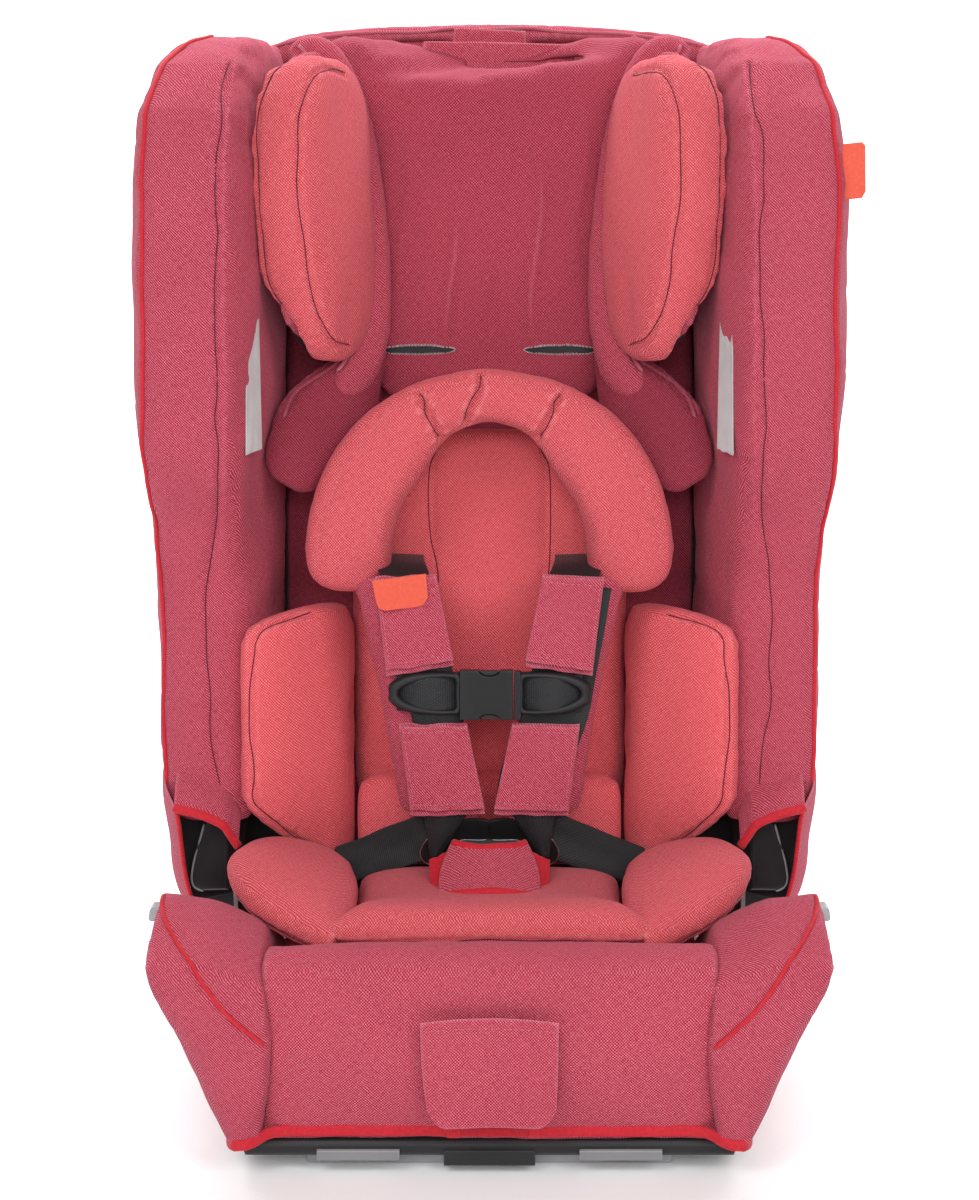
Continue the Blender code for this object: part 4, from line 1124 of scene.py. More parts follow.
def pillow_pad():
    """Horseshoe head pillow with broad arms, gathered at the top by a pleat and two cross seams."""
    # centre x and z, half width of the arm
    half = [(-0.1035, 0.160, 0.0300), (-0.1030, 0.180, 0.0325), (-0.1000, 0.207, 0.0335),
            (-0.0890, 0.238, 0.0335), (-0.0680, 0.268, 0.0310), (-0.0430, 0.290, 0.0235),
            (-0.0200, 0.2985, 0.0200)]
    route = half + [(0, 0.3020, 0.0195)] + [(-x, z, wide) for x, z, wide in half[::-1]]
    path = curve_through([(x, z, wide) for x, z, wide in route], 0.008)
    out = BACK.to_3x3() @ Vector((0, -1, 0))
    places = [BACK @ Vector((p.x, -0.042, p.y)) for p in path]
    rings = []
    for index, here in enumerate(places):
        along = heading(places, index)
        across = along.cross(out).normalized()
        full = fullness(index, len(path), (0.50, 0.80, 0.94))
        rings.append(oval_ring(here, across, path[index].z * full, out, 0.0190 * full, 2.4))
    outer = [(-0.124, -0.058, 0.185), (-0.124, -0.060, 0.205), (-0.110, -0.061, 0.241),
             (-0.090, -0.061, 0.272), (-0.068, -0.061, 0.296), (-0.046, -0.060, 0.307), (0, -0.060, 0.314)]
    outer += mirrored(outer[-2::-1], -1)
    seams = [("stitch", outer)]
    for turn in (-1, 1):
        seams.append(("fold", [(turn * 0.052, -0.058, 0.304), (turn * 0.046, -0.064, 0.294),
                               (turn * 0.038, -0.060, 0.279), (turn * 0.036, -0.050, 0.272)]))
    seams.append(("fold", [(-0.0065, -0.054, 0.318), (-0.008, -0.063, 0.304), (-0.014, -0.060, 0.290),
                           (-0.018, -0.050, 0.284)]))
    pad = Pad("head_pillow", CORAL, "back", ["insert_head_pillow"], cap=0.005, fill=0.8, seams=seams)
    begin(pad, loft("head_pillow", rings, CORAL))
    return pad


def thigh_pad(side, sign):
    """Wing at the thigh: plump and raised at its outer end, running to a point at the front."""
    # x, y and z of the front edge, then of the rear edge, half thickness
    stations = [((0.107, -0.153, 0.148), (0.100, -0.130, 0.149), 0.0090),
                ((0.116, -0.149, 0.149), (0.094, -0.105, 0.151), 0.0125),
                ((0.132, -0.136, 0.150), (0.093, -0.070, 0.155), 0.0150),
                ((0.150, -0.122, 0.154), (0.098, -0.040, 0.161), 0.0175),
                ((0.168, -0.104, 0.160), (0.114, -0.024, 0.167), 0.0180),
                ((0.181, -0.084, 0.167), (0.138, -0.018, 0.172), 0.0165),
                ((0.187, -0.066, 0.172), (0.160, -0.020, 0.175), 0.0130),
                ((0.188, -0.054, 0.174), (0.174, -0.030, 0.176), 0.0085)]
    rings = []
    for front, rear, half in stations:
        front, rear = (Vector((sign * p[0], p[1], p[2])) for p in (front, rear))
        across = rear - front
        up = Vector((-sign * 0.25, -0.15, 1)).normalized()
        rings.append(oval_ring((front + rear) / 2, across / 2, 1, up, half, 2.8, 24))
    edge = [(0.108, -0.148, 0.139), (0.128, -0.139, 0.141), (0.150, -0.122, 0.145), (0.169, -0.102, 0.151),
            (0.183, -0.080, 0.159), (0.189, -0.060, 0.168)]
    name = f"thigh_cushion_{side}"
    pad = Pad(name, CORAL, "base", [f"insert_thigh_{side}"], space=BASE, cap=0.004, fill=0.8,
              seams=[("seam", mirrored(edge, sign))], squash=((0, 0, 1), (0, 0, 0.140), 0.6))
    begin(pad, loft(name, rings, CORAL))
    return pad


def insert_seat_pad():
    """Seat pad of the insert: a full front lip, hollowed behind it where the buckle comes through."""
    lip = [(-0.106, -0.150, 0.146), (-0.050, -0.155, 0.150), (0, -0.155, 0.151), (0.050, -0.155, 0.150),
           (0.106, -0.150, 0.146)]
    # y, lowest and highest point, half width
    stations = [(-0.153, 0.149, 0.157, 0.096), (-0.149, 0.145, 0.163, 0.110), (-0.138, 0.141, 0.168, 0.112),
                (-0.120, 0.134, 0.167, 0.108), (-0.100, 0.127, 0.162, 0.102), (-0.080, 0.122, 0.158, 0.099),
                (-0.060, 0.120, 0.156, 0.098), (-0.040, 0.119, 0.155, 0.098), (-0.010, 0.119, 0.152, 0.098),
                (0.010, 0.121, 0.146, 0.098), (0.020, 0.124, 0.140, 0.092)]
    rings = []
    for y, low, high, wide in stations:
        centre = Vector((0, y, (low + high) / 2))
        rings.append(oval_ring(centre, Vector((1, 0, 0)), wide, Vector((0, 0, 1)), (high - low) / 2, 4.5, 32))
    pad = Pad("seat_insert_cushion", CORAL, "base", ["insert_seat_pad"], space=BASE, cap=0.004, relax=2,
              seams=[("seam", lip)], squash=((0, 0, 1), (0, 0, 0.125), 0.85))
    begin(pad, loft("seat_insert_cushion", rings, CORAL))
    return pad


# ---- seat ----
def panel_half_width(z):
    """Half width of the front panel: narrow in the middle, wider at hem and lip."""
    if z < 0.10:
        return 0.147 + 0.011 * ((0.10 - z) / 0.078) ** 1.3
    return 0.147 + 0.008 * min((z - 0.10) / 0.05, 1)


def seat_panel_pad():
    """Front panel and seat foam. Its side faces stay against the arms."""
    def fixed(place, normal):
        return abs(normal.x) > 0.7 or normal.z < -0.6 or place.y > -0.19 and place.z < 0.1

    pad = Pad("seat_panel", CRIMSON_PLAIN, "base", ["seat_cover"], space=BASE, cap=0.004, hold=fixed,
              crumple=0.0014, fill=0.5, relax=2,
              folds=[((0.085, 0.050), 0.030, 0.0012), ((-0.100, 0.055), 0.040, -0.0012)])
    piece = copy_of("seat_cover", pad.name, CRIMSON_PLAIN)
    for vert in piece.data.vertices:
        here = vert.co
        if here.y < -0.15:
            here.y += 0.006 * max(0.0, abs(here.x) / 0.150 - 0.75) / 0.25
    begin(pad, piece)
    return pad


def arm_outer(z):
    """Half width of the seat at an arm's outer side, by height: widest below the tip."""
    table = [(0.022, 0.1750), (0.060, 0.1905), (0.106, 0.2092), (0.134, 0.2240), (0.144, 0.2300),
             (0.155, 0.2322), (0.166, 0.2305), (0.176, 0.2268), (0.184, 0.2235)]
    for (low, near), (high, far) in zip(table, table[1:]):
        if z <= high:
            return near + (far - near) * max(z - low, 0) / (high - low)
    return table[-1][1]


def arm_cover_pad(side, sign):
    """Padded side lobe. Its inner side is sewn to the front panel, its outer side flares to the arm's tip."""
    def fixed(place, normal):
        return sign * normal.x < -0.75 or normal.z < -0.6

    # y, height of the outer edge, height of the inner edge, fullness
    stations = [(-0.2095, 0.114, 0.106, 0.66), (-0.2070, 0.132, 0.122, 0.95), (-0.1950, 0.152, 0.138, 1.0),
                (-0.1600, 0.170, 0.150, 1.0), (-0.1320, 0.180, 0.152, 1.0), (-0.1000, 0.169, 0.145, 1.0),
                (-0.0700, 0.148, 0.130, 1.0), (-0.0400, 0.118, 0.110, 1.0), (-0.0100, 0.082, 0.080, 1.0),
                (0.0560, 0.076, 0.076, 0.95)]
    levels = (0.0, 0.12, 0.30, 0.50, 0.70, 0.88, 1.0)
    hem = 0.022
    rings = []
    for y, top_out, top_in, full in stations:
        inner = [(panel_half_width(z) - 0.003, z) for z in (hem + (top_in - hem) * t for t in levels)]
        outer = [(arm_outer(z), z) for z in (hem + (top_out - hem) * t for t in levels)]
        crown = ((inner[-1][0] + outer[-1][0]) / 2, (top_in + top_out) / 2 + 0.006)
        ring = inner + [crown] + outer[::-1]
        middle = Vector((sum(p[0] for p in ring) / len(ring), sum(p[1] for p in ring) / len(ring)))
        ring = [middle + (Vector(p) - middle) * full for p in ring]
        rings.append([Vector((sign * p.x, y, max(p.y, hem))) for p in ring])
    ridge = [(0.2250, -0.128, 0.180), (0.2232, -0.142, 0.1735), (0.2190, -0.158, 0.165),
             (0.2094, -0.177, 0.157), (0.2002, -0.190, 0.150), (0.1880, -0.202, 0.136),
             (0.1692, -0.210, 0.1155), (0.1480, -0.212, 0.098)]
    name = f"arm_cover_{side}"
    pad = Pad(name, CRIMSON, "base", [f"arm_pad_{side}"], space=BASE, cap=0.004, hold=fixed, relax=2,
              seams=[("piping", mirrored(ridge, sign))], crumple=0.0011, fill=0.7)
    begin(pad, loft(name, rings, CRIMSON))
    return pad


def padded_pieces():
    pads = [seat_panel_pad(), insert_seat_pad(), insert_lumbar_pad(), back_cover_pad(), top_rim_pad(),
            head_panel_pad(), insert_back_pad(), pillow_pad()]
    for side, sign in SIDES:
        pads += [bolster_pad(side, sign), arm_cover_pad(side, sign), wing_pad(side),
                 head_cushion_pad(side, sign), head_roll_pad(side, sign), head_lobe_pad(side, sign),
                 insert_side_pad(side, sign), thigh_pad(side, sign), shoulder_pad_core(side, sign)]
    complete(pads)
    return {pad.name: pad.piece for pad in pads}


# ---- panels, plates and bands ----
def edge_spaced(count):
    """Places from 0 to 1, closer together at both ends."""
    return [0, 0.010, 0.030] + [0.065 + 0.87 * k / count for k in range(count + 1)] + [0.970, 0.990, 1]


def rim_share(place):
    """How thick a panel is at a place across it: a round edge over the outer few per cent."""
    inset = min(min(place, 1 - place) / 0.03, 1)
    return max(0.2, (1 - (1 - inset) ** 2) ** 0.5)


def panel_normal(surface, u, v):
    """The way a panel faces at a place on it."""
    right = surface(min(u + 0.01, 1), v) - surface(max(u - 0.01, 0), v)
    below = surface(u, min(v + 0.01, 1)) - surface(u, max(v - 0.01, 0))
    return right.cross(below).normalized()


def slab(name, surface, thick, material, body, counts=(16, 16)):
    """A closed panel of doubled cloth over surface(u, v), with rounded edges."""
    across, down = edge_spaced(counts[0]), edge_spaced(counts[1])
    builder = bmesh.new()
    layers = {label: builder.verts.layers.float.new(label) for label in ("along", "across")}
    size = ((surface(1, 0.5) - surface(0, 0.5)).length, (surface(0.5, 1) - surface(0.5, 0)).length)
    skins = ([], [])
    for v in down:
        rows = ([], [])
        for u in across:
            here = surface(u, v)
            lift = panel_normal(surface, u, v) * thick / 2 * min(rim_share(u), rim_share(v))
            for row, point in zip(rows, (here + lift, here - lift)):
                vert = builder.verts.new(point)
                vert[layers["across"]], vert[layers["along"]] = u * size[0], v * size[1]
                row.append(vert)
        skins[0].append(rows[0])
        skins[1].append(rows[1])
    for layer in skins:
        for upper, lower in zip(layer, layer[1:]):
            for k in range(len(across) - 1):
                builder.faces.new((upper[k], upper[k + 1], lower[k + 1], lower[k]))
    front, rear = ([*layer[0], *(row[-1] for row in layer[1:]), *layer[-1][-2::-1],
                    *(row[0] for row in layer[-2:0:-1])] for layer in skins)
    bridge(builder, front, rear)
    return add_piece(name, builder, material, body)


def patch(corners, bulge=0.0, wave=0.0, space=BACK, seed=0.0):
    """A surface between four corners, bowed to the front and wavy.

    The corners are those at the upper left, upper right, lower left and lower right, in any mirrored order.
    """
    corners = sorted(corners[:2], key=lambda c: c[0]) + sorted(corners[2:], key=lambda c: c[0])
    top_left, top_right, bottom_left, bottom_right = (Vector(c) for c in corners)

    def surface(u, v):
        here = top_left.lerp(top_right, u).lerp(bottom_left.lerp(bottom_right, u), v)
        edge = (2 * v - 1) ** 2 * 0.6 + (2 * u - 1) ** 2 * 0.4
        ripple = noise.noise(Vector((u * 3 + seed, v * 3, seed))) * (0.4 + edge)
        here.y -= bulge * (1 - (2 * u - 1) ** 2) - wave * ripple
        here.z += wave * 0.5 * noise.noise(Vector((u * 4, v * 2 + seed, 5.0))) * (2 * v - 1) ** 2
        return space @ here

    return surface


def oblong(start, end, low, high):
    """Outline of a rectangle as (x, z)."""
    return [(start, low), (end, low), (end, high), (start, high)]


def plate(name, outline, front, rear, bevel, material, body, space=BACK):
    """A flat part cut to an outline of (x, z), between two depths, its edges rounded."""
    builder = bmesh.new()
    face = builder.faces.new([builder.verts.new((x, front, z)) for x, z in outline])
    made = bmesh.ops.extrude_face_region(builder, geom=[face])["geom"]
    for item in made:
        if isinstance(item, bmesh.types.BMVert):
            item.co.y = rear
    sharp = [edge for edge in builder.edges if edge.is_manifold and edge.calc_face_angle(0) > 1.0]
    bmesh.ops.bevel(builder, geom=sharp, offset=bevel, segments=3, profile=0.6, affect="EDGES")
    bmesh.ops.transform(builder, matrix=space, verts=builder.verts)
    return add_piece(name, builder, material, body, smooth=False)


def frame_ring(name, inner, outer, front, rear, material, body, space=BACK):
    """A moulded frame between an inner and an outer outline with equal point counts."""
    rings = []
    profile = ((0, 0.75), (0.10, 0.0), (0.30, -0.25), (0.70, -0.25), (0.92, 0.05), (1, 0.35), (1, 0.8),
               (0.9, 1.0), (0.1, 1.0))
    for (xi, zi), (xo, zo) in zip(inner, outer):
        rings.append([space @ Vector((xi + (xo - xi) * a, front + (rear - front) * b, zi + (zo - zi) * a))
                      for a, b in profile])
    builder = bmesh.new()
    loops = [[builder.verts.new(point) for point in ring] for ring in rings]
    for first, second in zip(loops, loops[1:] + loops[:1]):
        bridge(builder, first, second)
    return add_piece(name, builder, material, body)


def band(name, points, width, thick, width_way, material, body, space=BACK, step=0.004, arch=0.0):
    """A flat band through given points, its width along one direction."""
    path = curve_through([space @ Vector(p) for p in points], step)
    way = space.to_3x3() @ Vector(width_way)
    return strap(name, path, [way] * len(path), width, thick, material, body, arch)


def edge_rows(name, surface, body, rows, thick):
    """Rows of stitches on a panel. Each row is (u0, v0, u1, v1)."""
    for number, (u0, v0, u1, v1) in enumerate(rows):
        path, normals = [], []
        for k in range(61):
            u, v = u0 + (u1 - u0) * k / 60, v0 + (v1 - v0) * k / 60
            normal = panel_normal(surface, u, v)
            if normal.y > 0:
                normal = -normal
            normals.append(normal)
            path.append(surface(u, v) + normal * thick / 2)
        yield stitches(f"{name}_stitch_{number}", path, normals, PINK_THREAD, body)


# ---- harness ----
HARNESS_SQUASH = (BACK_REAR, BACK @ Vector((0, 0.012, 0.09)), 0.18)
SEAT_SQUASH = ((0, 0, 1), (0, 0, 0.130), 0.5)


def squash_harness(piece):
    """Flattens a piece of the harness against the back as the back folds."""
    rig.squash(piece, "back_fold", *HARNESS_SQUASH)


def shoulder_pad_core(side, sign):
    """Padded under layer of a shoulder pad; its outer side turns back round the webbing."""
    middle = [(0.0700, 0.172, 0), (0.0575, 0.105, 0), (0.0480, 0.060, 0), (0.0355, -0.006, 0)]
    path = curve_through(middle, 0.008)
    rings = []
    for index, here in enumerate(path):
        full = fullness(index, len(path), (0.7, 0.95))
        across = Vector((sign * 0.98, 0.0, 0.19))
        ring = oval_ring(Vector((sign * here.x, -0.0555, here.y)), across, 0.0310 * (0.9 + 0.1 * full),
                         Vector((0, -1, 0)), 0.0075 * full, 3.6, 28)
        for point in ring:
            outward = max(0.0, (sign * point.x - here.x) / 0.031)
            point.y += 0.013 * outward ** 2
        rings.append([BACK @ point for point in ring])
    name = f"shoulder_pad_under_{side}"
    pad = Pad(name, CRIMSON, "back", [f"shoulder_pad_{side}"], voxel=0.004, cap=0.0025, relax=2, fill=0.4,
              crumple=0.0010, squash=HARNESS_SQUASH)
    begin(pad, loft(name, rings, CRIMSON))
    return pad


def pad_layers(side, sign):
    """Folded-over layers of a shoulder pad, above and below the chest clip."""
    wraps = {
        "upper": ((0.0380, 0.1739), (0.0815, 0.1715), (0.0255, 0.1135), (0.0735, 0.1060)),
        "lower": ((0.0161, 0.0673), (0.0645, 0.0659), (0.0032, 0.0067), (0.0565, 0.0050)),
    }
    for label, corners in wraps.items():
        for layer, (depth, inset) in enumerate(((-0.0745, 0.0), (-0.0705, 0.0035))):
            places = []
            for number, (x, z) in enumerate(corners):
                shift = inset * (1.2 if number > 1 else -0.4)
                places.append((sign * x, depth + 0.002 * (number % 2), z - shift))
            surface = patch(places, bulge=0.0035, wave=0.0022, seed=3.1 * sign + layer + len(label))
            name = f"shoulder_pad_{label}_{side}_{layer}"
            squash_harness(slab(name, surface, 0.0022, CRIMSON, "back"))
            outer = 0.06 if sign < 0 else 0.94
            if layer == 0:
                rows = [(outer, 0.03, outer, 0.97), (0.04, 0.93, 0.96, 0.93), (0.04, 0.07, 0.96, 0.07)]
                for row in edge_rows(name, surface, "back", rows, 0.0022):
                    squash_harness(row)


def harness_webbing(side, sign):
    """Shoulder webbing under the layers, its folded end in the tongue, and the lap strap."""
    width, aside = (0.046, 0.0055) if side == "right" else (0.036, -0.0035)
    shoulder = [(0.059 + aside, -0.0655, 0.168), (0.0535 + aside, -0.0665, 0.135),
                (0.0480 + aside, -0.0665, 0.105), (0.0455 + aside, -0.0650, 0.090),
                (0.0405 + aside, -0.0665, 0.070), (0.0310, -0.0665, 0.030), (0.0270, -0.065, 0.000)]
    over = [(0.0600, -0.062, 0.172), (0.0640, -0.040, 0.180), (0.0660, -0.010, 0.183), (0.0660, 0.020, 0.183)]
    tail = band(f"shoulder_tail_{side}", mirrored(over, sign), 0.036, WEB_THICK, (sign, 0, 0.05), WEBBING,
                "back")
    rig.replaces(tail, f"shoulder_strap_{side}")
    squash_harness(tail)
    squash_harness(band(f"shoulder_webbing_{side}", mirrored(shoulder, sign), width, WEB_THICK,
                        (sign, 0, 0.2), WEBBING, "back", arch=0.002))
    tuck = [(0.0480, -0.0665, 0.0060), (0.0130, -0.0665, 0.0060), (0.0425, -0.0600, -0.0310),
            (0.0360, -0.0600, -0.0290)]
    surface = patch(mirrored(tuck, sign), 0.003, 0.001)
    squash_harness(slab(f"shoulder_tuck_{side}", surface, WEB_THICK, WEBBING, "back"))
    lap = [(0.0480, -0.0030, 0.1950), (0.1250, 0.0180, 0.1560), (0.0425, -0.0120, 0.1620),
           (0.1180, 0.0060, 0.1330)]
    surface = patch(mirrored(lap, sign), 0.0025, 0.0016, BASE, seed=sign)
    piece = slab(f"lap_webbing_{side}", surface, WEB_THICK, WEBBING, "base", (24, 12))
    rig.replaces(piece, f"lap_strap_{side}")
    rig.squash(piece, "back_fold", *SEAT_SQUASH)


def tongue(side, sign):
    """Black-coated steel tongue with a bright worn lower edge."""
    outline = [(0.0006, 0.1968), (0.022, 0.1975), (0.034, 0.1968), (0.0420, 0.1860), (0.0485, 0.1760),
               (0.0500, 0.1680), (0.0470, 0.1620), (0.0400, 0.1590), (0.0330, 0.1600), (0.0280, 0.1670),
               (0.0245, 0.1760), (0.0200, 0.1810), (0.0006, 0.1822)]
    outline = rounded_outline(outline, 0.002)
    lean = Matrix.Translation((0, -0.0230, 0.178)) @ Matrix.Rotation(radians(14), 4, "X") \
        @ Matrix.Translation((0, 0, -0.178))
    shape = [(sign * x, z) for x, z in outline]
    piece = plate(f"tongue_plate_{side}", shape, -0.0016, 0.0016, 0.0007, BLACK, "back", lean)
    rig.replaces(piece, f"tongue_{side}")
    squash_harness(piece)
    path = [lean @ Vector((sign * x, -0.0014, z)) for x, z in outline if z < 0.184 and x > 0.001]
    squash_harness(tube(f"tongue_edge_{side}", path, 0.00045, STEEL, "back", 6))


def rounded_outline(points, step=0.0025):
    """A closed outline of (x, z) made into a smooth curve."""
    return [(p.x, p.y) for p in curve_through([(x, z, 0) for x, z in points], step, closed=True)[:-1]]


def resampled(outline, count):
    """An outline with a chosen number of evenly spaced points, from its first point on."""
    loop = outline + outline[:1]
    steps = [(Vector(b) - Vector(a)).length for a, b in zip(loop, loop[1:])]
    total, result = sum(steps), []
    travelled, index = 0.0, 0
    for k in range(count):
        target = total * k / count
        while travelled + steps[index] < target:
            travelled += steps[index]
            index += 1
        share = (target - travelled) / steps[index]
        result.append(tuple(Vector(loop[index]).lerp(Vector(loop[index + 1]), share)))
    return result


def chest_clip_half(side, sign):
    """A moulded frame with a pointed window and a notched end, and webbing bowed through it."""
    outer = [(0.0205, 0.0905), (0.0205, 0.1040), (0.024, 0.1050), (0.040, 0.1055), (0.056, 0.1040),
             (0.0665, 0.1000), (0.0722, 0.0950), (0.0715, 0.0900), (0.0722, 0.0850), (0.0665, 0.0800),
             (0.056, 0.0760), (0.040, 0.0745), (0.024, 0.0750), (0.0205, 0.0765)]
    inner = [(0.0245, 0.0905), (0.0245, 0.0990), (0.030, 0.1008), (0.042, 0.1000), (0.054, 0.0968),
             (0.0625, 0.0930), (0.0645, 0.0900), (0.0625, 0.0865), (0.054, 0.0825), (0.042, 0.0795),
             (0.030, 0.0785), (0.0245, 0.0800)]
    outer = resampled(rounded_outline(outer), 48)
    inner = resampled(rounded_outline(inner), 48)
    shape = [[(sign * x, z) for x, z in line] for line in (inner, outer)]
    piece = frame_ring(f"clip_frame_{side}", shape[0], shape[1], -0.0755, -0.0680, BLACK, "back")
    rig.replaces(piece, f"chest_clip_{side}")
    squash_harness(piece)
    bow = [(sign * 0.0225, -0.0690, 0.1030), (sign * 0.0665, -0.0690, 0.1030),
           (sign * 0.0225, -0.0690, 0.0770), (sign * 0.0665, -0.0690, 0.0770)]
    surface = patch(bow, 0.0070, 0.0008, seed=7 * sign)
    squash_harness(slab(f"clip_webbing_{side}", surface, WEB_THICK, WEBBING, "back"))


def chest_clip_block():
    """Centre of the clip: two shells meeting off centre, a thumb recess above and below."""
    for side, low, high in (("left", -0.0212, 0.0168), ("right", 0.0176, 0.0222)):
        outline = oblong(low, high, 0.0715, 0.1060)
        if side == "left":
            dip = [(0.0075 * cos(k * pi / 10), 0.0040 * sin(k * pi / 10)) for k in range(11)]
            outline = [(low, 0.0712)] + [(-x, 0.0712 + z) for x, z in dip] + [(high, 0.0712)]
            outline += [(high, 0.1066)] + [(x, 0.1066 - z) for x, z in dip] + [(low, 0.1066)]
        squash_harness(plate(f"clip_block_{side}", outline, -0.0785, -0.0670, 0.0011, BLACK, "back"))
    for label, z, way in (("upper", 0.1062, -1), ("lower", 0.0716, 1)):
        shape = [(0.0066 * cos(k * pi / 12), z + way * 0.0034 * sin(k * pi / 12)) for k in range(13)]
        piece = plate(f"clip_thumb_{label}", shape, -0.0765, -0.0690, 0.0006, CHARCOAL, f"clip_tab_{label}")
        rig.replaces(piece, f"clip_tab_{label}")
        squash_harness(piece)


def crotch_cover():
    """Cover round the buckle: a crimson panel bound in scarlet, with side flaps and a slot below."""
    surface = patch([(-0.0270, -0.0440, 0.1860), (0.0270, -0.0440, 0.1860), (-0.0350, -0.0830, 0.1560),
                     (0.0350, -0.0830, 0.1560)], 0.012, 0.0015, BASE, seed=2)

    def hollowed(u, v):
        here = surface(u, v)
        here.z += 0.010 * v * v * (1 - (2 * u - 1) ** 2)
        here.x *= 1 + 0.12 * sin(pi * v)
        return here

    piece = slab("crotch_cover", hollowed, 0.0030, CRIMSON_PLAIN, "base")
    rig.replaces(piece, "crotch_pad")
    soft = [piece]
    for label, v, wide in (("upper", 0.015, 0.0060), ("lower", 0.965, 0.0070)):
        places = [0.02 + 0.96 * k / 24 for k in range(25)]
        path = [hollowed(u, v) for u in places]
        ways = [hollowed(u, min(v + 0.05, 1)) - hollowed(u, max(v - 0.05, 0)) for u in places]
        soft.append(strap(f"crotch_binding_{label}", path, ways, wide, 0.0042, SCARLET, "base"))
    for side, sign in SIDES:
        corners = [(sign * 0.0270, -0.0455, 0.1810), (sign * 0.0430, -0.0430, 0.1720),
                   (sign * 0.0325, -0.0850, 0.1500), (sign * 0.0410, -0.0720, 0.1480)]
        flap = patch(corners, 0.002, 0.002, BASE, seed=sign)
        soft.append(slab(f"crotch_flap_{side}", flap, 0.0022, SCARLET, "base"))
    for extra in soft:
        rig.squash(extra, "back_fold", *SEAT_SQUASH)


def harness():
    for side, sign in SIDES:
        pad_layers(side, sign)
        harness_webbing(side, sign)
        tongue(side, sign)
        chest_clip_half(side, sign)
    chest_clip_block()
    crotch_cover()


# ---- trim ----
SLOT_DEPTH, SLOT_HEIGHT = 0.0105, 0.3345     # place of the harness slots on the back
FRAY_COUNT = 150                             # loose fibres round a slot


def adjuster_flap():
    """Flap over the harness adjuster: one layer of cloth hanging from its stitched top edge."""
    width, length = 0.092, 0.073

    def surface(u, v):
        corner = max(0.0, (abs(2 * u - 1) - 0.72) / 0.28) ** 2
        x = (u - 0.5) * width * (1 - 0.10 * v * v * (1.0 if u < 0.5 else 0.35))
        z = 0.1170 - length * v + 0.012 * corner * v ** 3 + 0.0035 * (1 - (2 * u - 1) ** 2) * (1 - v) ** 3
        lift = 0.0022 + 0.0050 * v * v + 0.0012 * sin(u * 9) * v
        return Vector((x, -0.2105 - lift, z))

    piece = slab("adjuster_flap_cloth", surface, 0.0018, CRIMSON_PLAIN, "adjuster_flap", (24, 24))
    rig.replaces(piece, "adjuster_flap")
    rows = list(edge_rows("flap", surface, "adjuster_flap", [(0.03, 0.085, 0.97, 0.085)], 0.0018))
    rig.sheet(piece, flat=(width, length), held="hung", rests_on=["seat_cover"], with_pieces=rows)
    for label, x, wide in (("left", -0.0240, 0.0085), ("right", 0.0300, 0.0070)):
        route = [(x, -0.2105, 0.058), (x, -0.2112, 0.046), (x, -0.2108, 0.034)]
        band(f"red_tape_{label}", route, wide, 0.0012, (1, 0, 0), SCARLET, "base", BASE)


def hem(tree):
    """Scarlet binding round the bottom edge of the seat's cover."""
    route = [(0.184, 0.050, 0.033), (0.178, 0.000, 0.027), (0.176, -0.100, 0.0255), (0.176, -0.180, 0.0270),
             (0.171, -0.204, 0.0265), (0.160, -0.213, 0.0245), (0.110, -0.214, 0.0240)]
    route += [(0, -0.214, 0.0240)] + mirrored(route[::-1], -1)
    path, _ = lay_on(tree, curve_through(route, 0.005), 0.0006)
    strap("hem_binding", path, [Vector((0, 0, 1))] * len(path), 0.0085, 0.0030, SCARLET, "base")


def hinge_skirt(side, sign):
    """Cloth that tapers down from the bolster outside the hinge, its bound edge arching over the hinge."""
    arch = [(0.1808, -0.0320, 0.1780), (0.1865, -0.0320, 0.1870), (0.1924, -0.0320, 0.1950),
            (0.2080, -0.0310, 0.2020), (0.2210, -0.0300, 0.2050), (0.2268, -0.0290, 0.2065)]
    edge = [(0.2262, -0.0290, 0.2075), (0.2242, -0.0260, 0.1960), (0.2230, -0.0210, 0.1747),
            (0.2216, -0.0150, 0.1518), (0.2185, -0.0100, 0.1327), (0.2165, -0.0080, 0.1240)]
    outside = [(0.2385, 0.0300, 0.2250), (0.2385, 0.0300, 0.2050), (0.2362, 0.0300, 0.1747),
               (0.2345, 0.0300, 0.1518), (0.2300, 0.0300, 0.1327), (0.2270, 0.0300, 0.1240)]
    over = curve_through(arch, 0.001)
    near = curve_through(edge, 0.001)
    far = curve_through(outside, 0.001)

    def valance(u, v):
        low = over[round(u * (len(over) - 1))]
        return Vector((sign * low.x, low.y + 0.030 * (1 - v) - 0.003 * sin(pi * v), low.z + 0.022 * (1 - v)))

    def skirt(u, v):
        here = near[round(v * (len(near) - 1))].lerp(far[round(v * (len(far) - 1))], u)
        here.x += 0.0040 * sin(pi * u) + 0.0008 * sin(v * 9)
        return Vector((sign * here.x, here.y, here.z))

    cloth = [slab(f"hinge_valance_{side}", valance, 0.0030, CRIMSON, "back", (20, 8)),
             slab(f"hinge_skirt_{side}", skirt, 0.0026, CRIMSON, "back", (12, 24))]
    lining = [(0.1760, 0.0240, 0.2080), (0.2290, 0.0020, 0.2080), (0.1850, 0.0240, 0.1240),
              (0.2200, 0.0000, 0.1240)]
    surface = patch(mirrored(lining, sign), space=BASE)
    cloth.append(slab(f"hinge_lining_{side}", surface, 0.0030, CHARCOAL, "back"))
    cloth.append(band(f"hinge_binding_{side}", mirrored(arch, sign), 0.0070, 0.0046, (0.1 * sign, 0.5, 0.85),
                      SCARLET, "back", BASE))
    route = [Vector((sign * p.x, p.y - 0.001, p.z)) for p in near[::3]]
    cloth.append(tube(f"hinge_piping_{side}", route, 0.0017, SCARLET, "back", 10))
    for piece in cloth:
        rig.squash(piece, "back_fold", BACK_REAR, BACK @ Vector((0, 0.034, 0)), 0.2)


